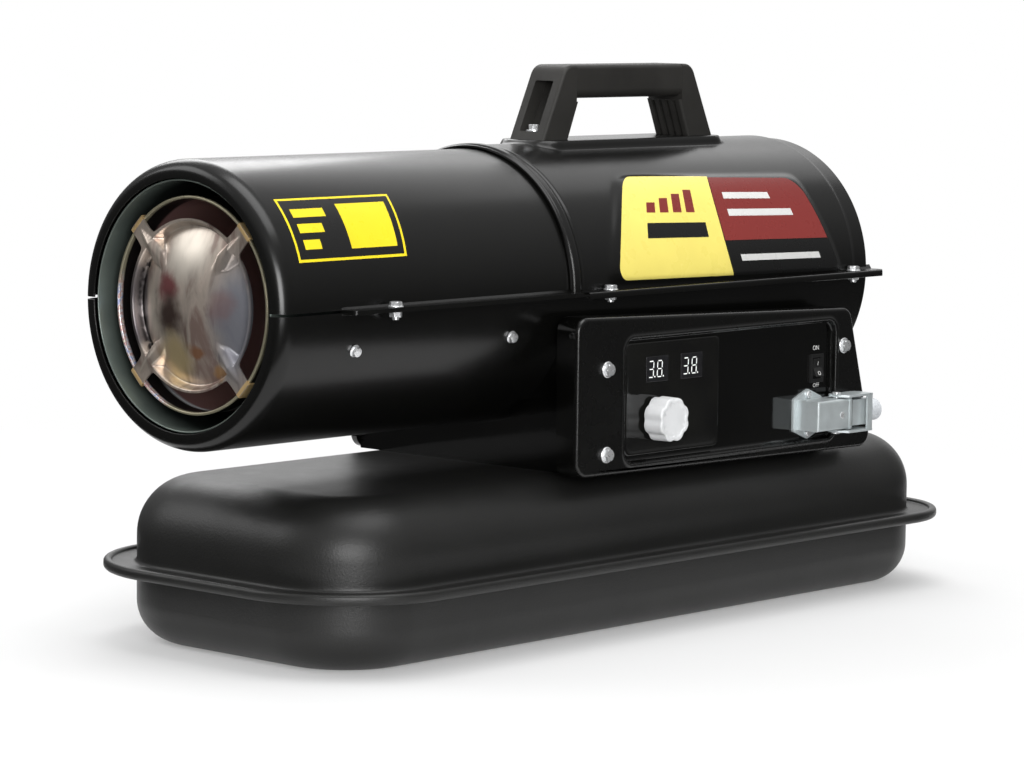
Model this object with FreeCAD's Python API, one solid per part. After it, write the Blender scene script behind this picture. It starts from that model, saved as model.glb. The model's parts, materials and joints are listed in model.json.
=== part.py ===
import FreeCAD, Part
import math
import os

from FreeCAD import Vector

# Direct-fired diesel heater. A pressed fuel tank carries a sheet-metal support box, and the box
# carries a split heater tube with the burner, fan and air pump inside it.
# Millimetres, +Z up. X runs along the tube with the hot outlet at -X, the control panel is on
# the -Y side, and the origin is the centre of the tank's flat bottom.

# Fuel tank: two pressed halves joined by a folded rim
RIM_LENGTH = 718.0
RIM_WIDTH = 302.0
FRONT_CORNER = 96.0
REAR_CORNER = 76.0
RIM_OVERHANG = 24.0
RIM_HEIGHT = 8.0
RIM_FOLD = 6.0
RIM_EDGE = 2.6
HEM_BACK = 2.4
SEAM_HEIGHT = 57.0
TANK_HEIGHT = 120.0
SHOULDER_RADIUS = 42.0
FOOT_RADIUS = 31.0
TANK_SHEET = 1.2

# Filler, gauge, pick-up and drain on the tank
CAP_INSET = 97.0
CAP_X = RIM_LENGTH / 2 - CAP_INSET
CAP_CLEARANCE = 13.0
CAP_Y = 56.0
CAP_RADIUS = 25.0
CAP_SKIRT = 18.0
CAP_TOP = 4.0
CAP_FLUTES = 12
FLUTE_RADIUS = 2.6
NECK_RADIUS = 20.0
NECK_HEIGHT = 14.0
NECK_WALL = 1.5
STRAINER_RADIUS = 17.0
STRAINER_DEPTH = 58.0
STRAINER_WALL = 1.0
GAUGE_Y = -36.0
GAUGE_RADIUS = 19.0
GAUGE_HEIGHT = 9.0
GAUGE_RIM = 2.0
PICKUP_BEHIND = 8.0
PICKUP_Y = 60.0
PICKUP_FLATS = 17.0
PICKUP_HEIGHT = 10.0
DRAIN_HEIGHT = 42.0
DRAIN_RADIUS = 6.0
DRAIN_FLATS = 15.0
DRAIN_HEAD = 6.0

# Support box between tank and tube
BASE_FRONT = -82.0
BASE_REAR = CAP_X - CAP_RADIUS - CAP_CLEARANCE
SIDE_Y = 109.0
WALL_HEIGHT = 102.0
BASE_SHEET = 1.5
SADDLE_WIDTH = 12.0
SADDLE_HALF = 66.0
SADDLE_GAP = 0.2
BOLT_MARGIN = 16.0
BASE_BOLT = 3.0

# Control cover and its plain twin on the far side: a pressed tray with a slanted rear edge
PANEL_Y = 129.6
FAR_COVER_Y = 116.0
PANEL_FRONT = -102.5
FAR_COVER_FRONT = -87.0
PANEL_TOP_INSET = 6.0
PANEL_LOW_OVERRUN = 25.0
PANEL_REAR_TOP = BASE_REAR - PANEL_TOP_INSET
PANEL_REAR_LOW = BASE_REAR + PANEL_LOW_OVERRUN
PANEL_FRONT_RISE = 116.7
PANEL_REAR_RISE = 106.8
PANEL_FRONT_GAP = 0.5
PANEL_REAR_DROP = 3.5
PANEL_TOP_FRONT = TANK_HEIGHT + PANEL_FRONT_RISE
PANEL_TOP_REAR = TANK_HEIGHT + PANEL_REAR_RISE
PANEL_LOW_FRONT = TANK_HEIGHT + PANEL_FRONT_GAP
PANEL_LOW_REAR = TANK_HEIGHT - PANEL_REAR_DROP
PANEL_CORNER = 11.0
PANEL_EDGE = 2.5
COVER_SHEET = 1.5
RECESS_FRONT = -50.0
RECESS_MARGIN = 18.4
RECESS_REAR = PANEL_REAR_TOP - RECESS_MARGIN
RECESS_RISE = 7.0
RECESS_HEIGHT = 91.0
RECESS_LOW = TANK_HEIGHT + RECESS_RISE
RECESS_TOP = RECESS_LOW + RECESS_HEIGHT
RECESS_DEPTH = 5.0
RECESS_CORNER = 9.0
POST_RADIUS = 5.0
POST_MARGIN = 32.0
POST_DROP = 39.0
POST_RISE = 15.0
SCREW_RADIUS = 2.0
SCREW_CLEARANCE = 0.1

# Controls on the recess floor
DISPLAY_X = (-9.8, 29.8)
DISPLAY_RISE = 67.0
DISPLAY_Z = RECESS_LOW + DISPLAY_RISE
DISPLAY_WIDTH = 25.0
DISPLAY_HEIGHT = 19.0
DISPLAY_DEPTH = 8.0
DISPLAY_PROUD = 0.6
FILM_FRONT = -46.0
FILM_REAR = 62.0
FILM_LOW_MARGIN = 4.0
FILM_TOP_MARGIN = 3.0
FILM_LOW = RECESS_LOW + FILM_LOW_MARGIN
FILM_TOP = RECESS_TOP - FILM_TOP_MARGIN
FILM_THICK = 0.6
KNOB_X = -10.6
KNOB_RISE = 30.7
KNOB_Z = RECESS_LOW + KNOB_RISE
KNOB_RADIUS = 16.8
KNOB_LENGTH = 16.5
KNOB_GAP = 2.5
KNOB_LOBES = 8
KNOB_FLUTE = 5.5
KNOB_FLUTE_DEPTH = 1.6
SPINDLE_RADIUS = 3.0
BUSH_RADIUS = 4.5
DIAL_BODY_RADIUS = 8.5
DIAL_BODY_LENGTH = 7.0
SWITCH_INSET = 18.6
SWITCH_X = RECESS_REAR - SWITCH_INSET
SWITCH_RISE = 54.6
SWITCH_Z = RECESS_LOW + SWITCH_RISE
SWITCH_WIDTH = 16.0
SWITCH_HEIGHT = 22.0
SWITCH_BEZEL = 1.8
SWITCH_BORDER = 2.0
SWITCH_BODY = 15.0
ROCKER_TILT = 9.0
ROCKER_GAP = 0.4
ROCKER_PIVOT = 1.0
RUNNING = 0.05

# Square locking connector on the panel, mating towards the rear
PLUG_INSET = 30.0
PLUG_X = RECESS_REAR - PLUG_INSET
PLUG_RISE = 20.0
PLUG_Z = RECESS_LOW + PLUG_RISE
PLATE_HALF = 17.5
PLATE_EAR = 19.5
PLATE_EDGE = 12.5
PLATE_THICK = 2.0
EAR_PITCH = 15.0
EAR_SCREW_HEAD = 2.8
HOUSING_AHEAD = 13.0
HOUSING_BEHIND = 27.9
HOUSING_FRONT = PLUG_X - HOUSING_AHEAD
HOUSING_REAR = PLUG_X + HOUSING_BEHIND
HOUSING_REACH = 21.0
HOUSING_HEIGHT = 23.4
HOUSING_WALL = 2.0
MOUTH_LENGTH = 2.6
MOUTH_GROW = 0.7
SEAL_THICK = 1.6
HOOD_LENGTH = 26.0
HOOD_INSET = 1.6
HOOD_CLEAR = 0.8
GLAND_RADIUS = 9.0
GLAND_LENGTH = 12.0
LEVER_INSET = 5.5
LEVER_X = HOUSING_REAR - LEVER_INSET
LEVER_THICK = 1.8
LEVER_GAP = 1.2
LEVER_WIDTH = 11.0
LEVER_REACH = 29.5
LEVER_BAR = 7.0
LEVER_FRONT_GAP = 1.2
PIN_RADIUS = 2.5
PIN_HEAD = 3.4
PIN_HEAD_HEIGHT = 1.4

# Heater tube: a lower trough and two upper shells with seam flanges
TUBE_RADIUS = 101.2
TUBE_STAND = 30.2
AXIS_HEIGHT = TANK_HEIGHT + TUBE_STAND + TUBE_RADIUS
TUBE_FRONT = -370.7
TUBE_OVERRUN = 50.0
TUBE_REAR = BASE_REAR + TUBE_OVERRUN
SHELL_SHEET = 1.5
LIP_ROLL = 7.0
LIP_DEPTH = 13.2
OUTLET_RADIUS = TUBE_RADIUS - LIP_DEPTH
FLANGE_REACH = 14.0
FLANGE_FRONT = -314.5
FLANGE_TAIL = 6.0
FLANGE_END = 5.0
SEAM_GAP = 2.0
REAR_STEP = 2.6
REAR_RADIUS = TUBE_RADIUS + REAR_STEP
REAR_SHELL_FRONT = -81.0
OVERLAP = 24.0
REAR_FLANGE_FRONT = -76.0
FLANGE_NOTCH = 3.0
FLANGE_DROP = 3.5
BEAD_START = 2.0
BEAD_RAMP = 2.5
BEAD_FLAT = 4.0
BEAD_HEIGHT = 1.3
STEP_BACK = 21.0
STEP_RAMP = 4.0

# Raised pads pressed into the rear shell: one under the handle, one on the near side
PAD_FRONT_LOW = -39.0
PAD_FRONT_TOP = 2.0
PAD_TOP_INSET = 56.0
PAD_LOW_INSET = 37.0
PAD_REAR_TOP = TUBE_REAR - PAD_TOP_INSET
PAD_REAR_LOW = TUBE_REAR - PAD_LOW_INSET
PAD_LOW = 8.0
PAD_TOP = 81.0
PAD_HEIGHT = 1.2
PAD_CORNERS = (14.0, 34.0, 8.0, 8.0)
PLATEAU_RISE = 2.7
PLATEAU_HALF = 26.0
PLATEAU_OVERRUN = 6.0
PLATEAU_CORNER = 14.0

# Carrying handle
HANDLE_MID = 81.5
HANDLE_BASE_HALF = 100.0
HANDLE_TOP_HALF = 74.0
HANDLE_INNER_BASE = 70.5
HANDLE_INNER_TOP = 58.0
HANDLE_RISE = 56.0
HANDLE_GRIP_HEIGHT = 25.2
HANDLE_HALF_WIDTH = 17.3
HANDLE_ROUND = 12.0
HANDLE_INNER_ROUND = 6.0
HANDLE_EDGE = 2.5
GRIP_END = 4.0
GRIP_CORE = 8.0
GRIP_ROUND = 7.0
POCKET_HALF = 9.0
POCKET_LOW = 6.0
POCKET_TOP = 44.0
POCKET_DEPTH = 13.0
LEG_GROOVES = 4
GROOVE_WIDTH = 3.0
GROOVE_DEPTH = 2.5
FOOT_SCREW_INSET = 9.0

# Burner: heat liner, flame tube, baffle and burner plate
LINER_GAP = 0.5
LINER_RADIUS = OUTLET_RADIUS - LINER_GAP
LINER_SHEET = 1.2
LINER_SETBACK = 2.5
LINER_REAR = -64.0
FLAME_GAP = 12.5
FLAME_RADIUS = LINER_RADIUS - FLAME_GAP
FLAME_SHEET = 1.2
FLAME_SETBACK = 10.5
BURNER_PLACE = 208.0
FLAME_REAR = BASE_REAR - BURNER_PLACE
FLAME_BEAD = 1.0
FLAME_BEAD_WIDTH = 2.4
RING_THICK = 1.5
RING_HOLES = 10
RING_HOLE_RADIUS = 4.0
BAFFLE_GAP = 15.0
BAFFLE_RADIUS = FLAME_RADIUS - BAFFLE_GAP
BAFFLE_SHEET = 1.2
BAFFLE_BULGE = 13.0
BAFFLE_VALLEY = 0.8
BAFFLE_FLARE = 3.5
BAFFLE_RIM = 7.0
ARM_COUNT = 4
ARM_WIDTH = 14.0
ARM_FLARE = 7.0
ARM_ROUND = 9.0
ARM_RIB_HALF = 5.5
ARM_RIB_HEIGHT = 3.6
ARM_RIB_TIP = 1.2
ARM_RIB_RUN = 22.0
ARM_TAB = 10.0
TAB_GAP = 0.3
PLATE_SETBACK = 4.0
BURNER_SHEET = 2.0
SWIRL_SLOTS = 8
SWIRL_INNER = 26.0
SWIRL_MARGIN = 17.0
SWIRL_OUTER = FLAME_RADIUS - SWIRL_MARGIN
SWIRL_WIDTH = 6.0
HOLDER_RADIUS = 12.0
HOLDER_LENGTH = 30.0
NOZZLE_RADIUS = 7.0
NOZZLE_LENGTH = 16.0
NOZZLE_TIP = 2.5
IGNITER_OFFSET = 20.0
IGNITER_RADIUS = 4.0
IGNITER_LENGTH = 46.0
ELECTRODE_RADIUS = 1.0
ELECTRODE_LENGTH = 12.0
CELL_OFFSET = 34.0
CELL_RADIUS = 6.0
CELL_LENGTH = 26.0
FIT = 0.1

# Motor, fan and vane air pump on one shaft
FAN_CLEARANCE = 8.7
FAN_RADIUS = TUBE_RADIUS - SHELL_SHEET - FAN_CLEARANCE
FAN_BLADES = 5
FAN_HUB_RADIUS = 18.0
FAN_HUB_LENGTH = 28.0
BLADE_THICK = 1.6
BLADE_ROOT_CHORD = 32.0
BLADE_TIP_CHORD = 58.0
BLADE_ROOT_PITCH = 50.0
BLADE_TIP_PITCH = 26.0
SHAFT_RADIUS = 4.0
MOTOR_INSET = 22.0
MOTOR_LENGTH = 84.0
MOTOR_REAR = BASE_REAR - MOTOR_INSET
MOTOR_FRONT = MOTOR_REAR - MOTOR_LENGTH
FAN_AHEAD = 34.0
FAN_CENTRE = MOTOR_FRONT - FAN_AHEAD
SHAFT_TIP = 4.0
SHAFT_FRONT = FAN_CENTRE - FAN_HUB_LENGTH / 2 - SHAFT_TIP
MOTOR_RADIUS = 44.0
MOTOR_NOSE = 8.0
BRACKET_WIDTH = 30.0
BRACKET_SHEET = 2.0
BRACKET_LEG = 27.0
BRACKET_FOOT = 42.0
PUMP_RADIUS = 42.0
PUMP_LENGTH = 26.0
PUMP_BACK = 3.0
PUMP_BORE = 23.0
PUMP_OFFSET = 1.8
ROTOR_RADIUS = 20.5
ROTOR_GAP = 0.3
VANE_COUNT = 4
VANE_THICK = 4.0
VANE_DEPTH = 9.0
VANE_FIT = 0.05
PUMP_COVER = 4.0
FILTER_RADIUS = 40.0
FILTER_LENGTH = 14.0
FILTER_ROUND = 6.0

# Rear guard
GUARD_BAND = 13.0
GUARD_BAND_SHEET = 2.0
GUARD_INSET = 1.5
GUARD_WIRE = 2.4
GUARD_RINGS = 5
GUARD_FIRST = 18.0
GUARD_STEP = 16.0
GUARD_SPOKES = 8

# Electrics and lines inside the support box
BOARD_FRONT = -44.0
BOARD_REAR = 70.0
BOARD_RISE = 21.0
BOARD_HEIGHT = 66.0
BOARD_LOW = RECESS_LOW + BOARD_RISE
BOARD_TOP = BOARD_LOW + BOARD_HEIGHT
BOARD_THICK = 1.6
BOARD_POST = 3.0
COIL_INSET = 48.0
COIL_LENGTH = 70.0
COIL_X = (BASE_REAR - COIL_INSET - COIL_LENGTH, BASE_REAR - COIL_INSET)
COIL_Y = (-78.0, -46.0)
COIL_HEIGHT = 34.0
COIL_ROUND = 4.0
LINE_RADIUS = 3.0
LINE_BEND = 14.0
AIR_RUN_RISE = 9.0
AIR_RUN_HEIGHT = TANK_HEIGHT + AIR_RUN_RISE
AIR_PORT = 12.0
AIR_PORT_X = MOTOR_REAR + AIR_PORT
AIR_END = 16.0
AIR_END_X = FLAME_REAR + AIR_END
GROMMET_WALL = 2.5
GROMMET_HALF = 4.0

# Fasteners
FRONT_BOLT = 44.5
MIDDLE_BOLT = 31.5
REAR_BOLT = 27.0
FLANGE_BOLTS = (FLANGE_FRONT + FRONT_BOLT, REAR_FLANGE_FRONT + MIDDLE_BOLT, TUBE_REAR - REAR_BOLT)
FLANGE_BOLT_IN = 6.0
FLANGE_BOLT_RADIUS = 2.5
FLANGE_WASHER = 4.9
BOLT_HEAD_FLATS = 8.0
BOLT_HEAD_HEIGHT = 4.0
BOLT_WASHER_RADIUS = 6.0
BOLT_WASHER_HEIGHT = 1.2
BOLT_TAIL = 2.0
NUT_HEIGHT = 4.0
SIDE_SCREWS = (-298.0, -139.0)
SIDE_SCREW_ANGLE = 16.0
SIDE_HEAD_FLATS = 6.5
SIDE_WASHER = 4.5
SPACER_RADIUS = 4.5

# Values that follow from the ones above
SHELL_BORE = TUBE_RADIUS - SHELL_SHEET
BODY_CORNER = min(FRONT_CORNER, REAR_CORNER) - RIM_OVERHANG
SHOULDER = min(SHOULDER_RADIUS, BODY_CORNER - 2 * TANK_SHEET, TANK_HEIGHT - SEAM_HEIGHT - 2 * TANK_SHEET)
FOOT = min(FOOT_RADIUS, BODY_CORNER - 2 * TANK_SHEET, SEAM_HEIGHT - 2 * TANK_SHEET)
FLAT_HALF = RIM_WIDTH / 2 - RIM_OVERHANG - SHOULDER
BASE_FLOOR = TANK_HEIGHT + BASE_SHEET
FLOOR_FACE = -(PANEL_Y - RECESS_DEPTH)
FLOOR_BACK = FLOOR_FACE + COVER_SHEET
FILM_FACE = FLOOR_FACE - FILM_THICK
BOARD_FACE = FILM_FACE - DISPLAY_PROUD + DISPLAY_DEPTH
KNOB_BACK = FILM_FACE - KNOB_GAP
KNOB_FACE = KNOB_BACK - KNOB_LENGTH
PLATE_FACE = FLOOR_FACE - PLATE_THICK
HOUSING_FACE = PLATE_FACE - HOUSING_REACH
HOUSING_MID = (PLATE_FACE + HOUSING_FACE) / 2
HOUSING_LOW = PLUG_Z - HOUSING_HEIGHT / 2
HOUSING_TOP = PLUG_Z + HOUSING_HEIGHT / 2
HOOD_FRONT = HOUSING_REAR + SEAL_THICK
HOOD_REAR = HOOD_FRONT + HOOD_LENGTH
HOOD_BACK = -PANEL_Y - HOOD_CLEAR
FLAME_FRONT = TUBE_FRONT + FLAME_SETBACK
BAFFLE_FRONT = FLAME_FRONT - BAFFLE_SHEET
BAFFLE_FLOOR = BAFFLE_FRONT + BAFFLE_RIM
BAFFLE_FLAT = BAFFLE_RADIUS - BAFFLE_SHEET - BAFFLE_FLARE
BAFFLE_DOME = BAFFLE_FLAT - BAFFLE_VALLEY
BAFFLE_CURVE = (BAFFLE_DOME ** 2 + BAFFLE_BULGE ** 2) / (2 * BAFFLE_BULGE)
ARM_HOOK = FLAME_RADIUS + FLAME_BEAD + TAB_GAP
PICKUP_X = FLAME_REAR + PICKUP_BEHIND
BURNER_FACE = FLAME_REAR - PLATE_SETBACK
BURNER_BACK = BURNER_FACE + BURNER_SHEET
PUMP_REAR = MOTOR_REAR + PUMP_LENGTH
COVER_REAR = PUMP_REAR + PUMP_COVER
FILTER_REAR = COVER_REAR + FILTER_LENGTH
PLATEAU_TOP = AXIS_HEIGHT + REAR_RADIUS + PLATEAU_RISE
HANDLE_TOP = PLATEAU_TOP + HANDLE_RISE
GRIP_LOW = HANDLE_TOP - HANDLE_GRIP_HEIGHT
FLANGE_EDGE = TUBE_RADIUS + FLANGE_REACH
FLANGE_BOLT_Y = FLANGE_EDGE - FLANGE_BOLT_IN
X_AXIS = Vector(1, 0, 0)
Y_AXIS = Vector(0, 1, 0)
Z_AXIS = Vector(0, 0, 1)


def block(x, y, z):
    """Box between a low and a high limit on each axis."""
    return Part.makeBox(x[1] - x[0], y[1] - y[0], z[1] - z[0], Vector(x[0], y[0], z[0]))


def rod(radius, start, end):
    """Round bar between two points."""
    return Part.makeCylinder(radius, (end - start).Length, start, end - start)


def pipe(outer, inner, start, end):
    """Round bar with a bore of another radius along its whole length."""
    return rod(outer, start, end).cut(rod(inner, start, end))


def at_axis(x, side=0.0, up=0.0):
    """Point given by its place along the tube and its offset from the tube's axis."""
    return Vector(x, side, AXIS_HEIGHT + up)


def fused(shapes):
    """One solid from pieces that touch or overlap."""
    return shapes[0].multiFuse(shapes[1:]).removeSplitter()


def both_sides(shape):
    """A shape and its mirror image across the vertical plane through the tube."""
    return [shape, shape.mirror(Vector(0, 0, 0), Y_AXIS)]


def outline(corners, radii):
    """Closed wire of straight runs with a tangent arc of its own radius at each corner."""
    arcs = []
    for index, corner in enumerate(corners):
        before = (corners[index - 1] - corner).normalize()
        after = (corners[(index + 1) % len(corners)] - corner).normalize()
        half = before.getAngle(after) / 2
        run = radii[index] / math.tan(half)
        inward = (before + after).normalize()
        centre = corner + inward * (radii[index] / math.sin(half))
        arcs.append((corner + before * run, centre - inward * radii[index], corner + after * run))
    edges = []
    for index, (start, middle, end) in enumerate(arcs):
        previous = arcs[index - 1][2]
        if (start - previous).Length > 1e-6:
            edges.append(Part.LineSegment(previous, start).toShape())
        if radii[index] > 0:
            edges.append(Part.Arc(start, middle, end).toShape())
    return Part.Wire(Part.__sortEdges__(edges))


def inset_corners(corners, distance):
    """Corners of a convex outline moved inwards by one distance on every side."""
    moved = []
    for index, corner in enumerate(corners):
        before = (corners[index - 1] - corner).normalize()
        after = (corners[(index + 1) % len(corners)] - corner).normalize()
        half = before.getAngle(after) / 2
        moved.append(corner + (before + after).normalize() * (distance / math.sin(half)))
    return moved


def prism(corners, radii, travel):
    """Solid swept by a rounded outline along a straight line."""
    return Part.Face(outline(corners, radii)).extrude(travel)


def hexagon(flats, start, end):
    """Six-sided bar between two points."""
    along = (end - start).normalize()
    across = along.cross(X_AXIS if abs(along.x) < 0.9 else Y_AXIS).normalize()
    upward = along.cross(across)
    reach = flats / math.sqrt(3)
    corners = []
    for index in range(6):
        turn = index * math.pi / 3
        corners.append(start + across * (reach * math.cos(turn)) + upward * (reach * math.sin(turn)))
    return Part.Face(Part.makePolygon(corners + corners[:1])).extrude(end - start)


def hex_screw(seat, into, length, shank, flats=BOLT_HEAD_FLATS, disc=BOLT_WASHER_RADIUS):
    """Hexagon head with its own washer on a seat, and a round shank going into the work."""
    into = Vector(into).normalize()
    washer = rod(disc, seat - into * BOLT_WASHER_HEIGHT, seat)
    head = hexagon(flats, seat - into * (BOLT_WASHER_HEIGHT + BOLT_HEAD_HEIGHT), seat)
    return fused([washer, head, rod(shank, seat, seat + into * length)])


def edges_at(shape, axis, place):
    """Edges of a shape that lie wholly in one plane across an axis."""
    found = []
    for edge in shape.Edges:
        if all(abs(getattr(vertex.Point, axis) - place) < 1e-5 for vertex in edge.Vertexes):
            found.append(edge)
    return found


def revolved(path, start_angle, sweep):
    """Solid turned about the tube's axis from a closed path of (place, radius) points.

    A path item is a point, or a pair of points for an arc: one that it passes and its end.
    Angles are counted from straight up towards the control panel.
    """
    def spot(pair):
        return at_axis(pair[0], up=pair[1])

    edges = []
    here = path[0]
    for item in path[1:] + [path[0]]:
        if isinstance(item[0], tuple):
            edges.append(Part.Arc(spot(here), spot(item[0]), spot(item[1])).toShape())
            here = item[1]
        else:
            edges.append(Part.LineSegment(spot(here), spot(item)).toShape())
            here = item
    face = Part.Face(Part.Wire(edges))
    face.rotate(at_axis(0), X_AXIS, start_angle)
    return face.revolve(at_axis(0), X_AXIS, sweep)


def bent_line(points, bend, radius):
    """Round line along straight runs joined by arcs of one bend radius."""
    edges = []
    here = points[0]
    for before, corner, after in zip(points, points[1:], points[2:]):
        back = (before - corner).normalize()
        ahead = (after - corner).normalize()
        half = back.getAngle(ahead) / 2
        inward = (back + ahead).normalize()
        run = bend / math.tan(half)
        middle = corner + inward * (bend / math.sin(half) - bend)
        edges.append(Part.LineSegment(here, corner + back * run).toShape())
        edges.append(Part.Arc(corner + back * run, middle, corner + ahead * run).toShape())
        here = corner + ahead * run
    edges.append(Part.LineSegment(here, points[-1]).toShape())
    section = Part.Wire(Part.makeCircle(radius, points[0], points[1] - points[0]))
    return Part.Wire(edges).makePipeShell([section], True, False)


# Tank


def tank_slab(inset, low, high):
    """Slab of the tank's plan, drawn in by an inset, between two heights."""
    x_end = RIM_LENGTH / 2 - inset
    y_end = RIM_WIDTH / 2 - inset
    rear = REAR_CORNER - inset
    front = FRONT_CORNER - inset
    corners = [Vector(x_end, y_end, low), Vector(-x_end, y_end, low)]
    corners += [Vector(-x_end, -y_end, low), Vector(x_end, -y_end, low)]
    return prism(corners, [rear, front, front, rear], Z_AXIS * (high - low))


def tank_form(inset, low, high, rounded, radius):
    """Tank slab with the edge at one of its heights rounded over."""
    slab = tank_slab(inset, low, high)
    return slab.makeFillet(radius, edges_at(slab, "z", rounded))


def base_bolt_places():
    """Where the support box is bolted to the tank's flat top."""
    places = []
    for x in (BASE_FRONT + BOLT_MARGIN, BASE_REAR - BOLT_MARGIN):
        for y in (BOLT_MARGIN - FLAT_HALF, FLAT_HALF - BOLT_MARGIN):
            places.append((x, y))
    return places


def tank_upper_shell():
    """Upper half: a domed pressing whose rim folds round the edge of the lower half."""
    wall = RIM_OVERHANG + TANK_SHEET
    ceiling = TANK_HEIGHT - TANK_SHEET
    dome = tank_form(RIM_OVERHANG, SEAM_HEIGHT, TANK_HEIGHT, TANK_HEIGHT, SHOULDER)
    cavity = tank_form(wall, SEAM_HEIGHT, ceiling, ceiling, SHOULDER - TANK_SHEET)
    web = tank_slab(RIM_FOLD / 2, SEAM_HEIGHT, SEAM_HEIGHT + TANK_SHEET)
    fold_low = SEAM_HEIGHT - RIM_HEIGHT / 2
    fold_top = SEAM_HEIGHT + RIM_HEIGHT / 2
    fold = tank_slab(0.0, fold_low, fold_top)
    fold = fold.makeFillet(RIM_EDGE, edges_at(fold, "z", fold_low) + edges_at(fold, "z", fold_top))
    fold = fold.cut(tank_slab(RIM_FOLD, fold_low, fold_top))
    shell = fused([dome, web, fold]).cut(cavity)
    shell = shell.cut(tank_slab(HEM_BACK, SEAM_HEIGHT - TANK_SHEET, SEAM_HEIGHT))
    holes = [rod(NECK_RADIUS, Vector(CAP_X, CAP_Y, SEAM_HEIGHT), Vector(CAP_X, CAP_Y, TANK_HEIGHT))]
    holes.append(pickup_stem(LINE_RADIUS + FIT))
    for x, y in base_bolt_places():
        holes.append(rod(BASE_BOLT + FIT, Vector(x, y, SEAM_HEIGHT), Vector(x, y, TANK_HEIGHT)))
    return shell.cut(holes)


def tank_lower_pan():
    """Lower half: a pan with a flat rim held in the fold of the upper half."""
    wall = RIM_OVERHANG + TANK_SHEET
    pan = tank_form(RIM_OVERHANG, 0.0, SEAM_HEIGHT, 0.0, FOOT)
    cavity = tank_form(wall, TANK_SHEET, SEAM_HEIGHT, TANK_SHEET, FOOT - TANK_SHEET)
    web = tank_slab(HEM_BACK, SEAM_HEIGHT - TANK_SHEET, SEAM_HEIGHT)
    return fused([pan, web]).cut(cavity).cut(drain_thread(DRAIN_RADIUS + FIT))


def pickup_stem(radius):
    """Dip tube from the top of the tank to just above its floor."""
    low = Vector(PICKUP_X, PICKUP_Y, 4 * LINE_RADIUS)
    return rod(radius, low, Vector(PICKUP_X, PICKUP_Y, TANK_HEIGHT + PICKUP_HEIGHT))


def fuel_pickup():
    """Hexagon fitting on the tank's top with the dip tube under it, bored for the fuel."""
    seat = Vector(PICKUP_X, PICKUP_Y, TANK_HEIGHT)
    top = seat + Z_AXIS * PICKUP_HEIGHT
    body = fused([hexagon(PICKUP_FLATS, seat, top), pickup_stem(LINE_RADIUS)])
    return body.cut(pickup_stem(LINE_RADIUS / 2))


def drain_thread(radius):
    """Round bar through the rear wall of the lower pan."""
    outer = RIM_LENGTH / 2 - RIM_OVERHANG
    return rod(radius, Vector(outer - 3 * TANK_SHEET, 0, DRAIN_HEIGHT), Vector(outer, 0, DRAIN_HEIGHT))


def drain_plug():
    """Hexagon plug screwed into the rear wall of the lower pan."""
    face = Vector(RIM_LENGTH / 2 - RIM_OVERHANG, 0, DRAIN_HEIGHT)
    return fused([drain_thread(DRAIN_RADIUS), hexagon(DRAIN_FLATS, face, face + X_AXIS * DRAIN_HEAD)])


def filler_neck():
    """Short neck with a foot flange under the tank's top sheet."""
    low = Vector(CAP_X, CAP_Y, TANK_HEIGHT - 2 * TANK_SHEET)
    under = Vector(CAP_X, CAP_Y, TANK_HEIGHT - TANK_SHEET)
    top = Vector(CAP_X, CAP_Y, TANK_HEIGHT + NECK_HEIGHT)
    foot = rod(NECK_RADIUS + 2 * NECK_WALL, low, under)
    body = fused([rod(NECK_RADIUS - FIT, low, top), foot])
    return body.cut(rod(NECK_RADIUS - NECK_WALL, low, top))


def fuel_strainer():
    """Deep cup that hangs in the neck by its rim and keeps dirt out of the tank."""
    rim_low = Vector(CAP_X, CAP_Y, TANK_HEIGHT + NECK_HEIGHT)
    rim_top = rim_low + Z_AXIS * STRAINER_WALL
    floor = rim_low - Z_AXIS * STRAINER_DEPTH
    cup = fused([rod(STRAINER_RADIUS, floor, rim_top), rod(NECK_RADIUS - NECK_WALL / 2, rim_low, rim_top)])
    return cup.cut(rod(STRAINER_RADIUS - STRAINER_WALL, floor + Z_AXIS * STRAINER_WALL, rim_top))


def fuel_cap():
    """Screw cap with grip flutes, its skirt running on the neck."""
    low = Vector(CAP_X, CAP_Y, TANK_HEIGHT + NECK_HEIGHT - CAP_SKIRT + CAP_TOP)
    inside = Vector(CAP_X, CAP_Y, TANK_HEIGHT + NECK_HEIGHT + STRAINER_WALL + FIT)
    top = inside + Z_AXIS * CAP_TOP
    cap = rod(CAP_RADIUS, low, top)
    cap = cap.makeChamfer(CAP_TOP / 3, edges_at(cap, "z", top.z))
    flutes = []
    for index in range(CAP_FLUTES):
        turn = 2 * math.pi * index / CAP_FLUTES
        reach = CAP_RADIUS + FLUTE_RADIUS / 2
        offset = Vector(reach * math.cos(turn), reach * math.sin(turn), 0)
        flutes.append(rod(FLUTE_RADIUS, low + offset, top + offset))
    return cap.cut(flutes).cut(rod(NECK_RADIUS - FIT + RUNNING, low, inside))


def gauge_spot(rise):
    """Point on the fuel gauge's axis at a height above the tank."""
    return Vector(CAP_X, GAUGE_Y, TANK_HEIGHT + rise)


def fuel_gauge():
    """Round gauge body on the tank's top, with a dial sunk in its rim."""
    body = rod(GAUGE_RADIUS, gauge_spot(0), gauge_spot(GAUGE_HEIGHT))
    dial = rod(GAUGE_RADIUS - GAUGE_RIM, gauge_spot(GAUGE_HEIGHT - GAUGE_RIM), gauge_spot(GAUGE_HEIGHT))
    return body.cut(dial)


# Support box and side covers


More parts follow.
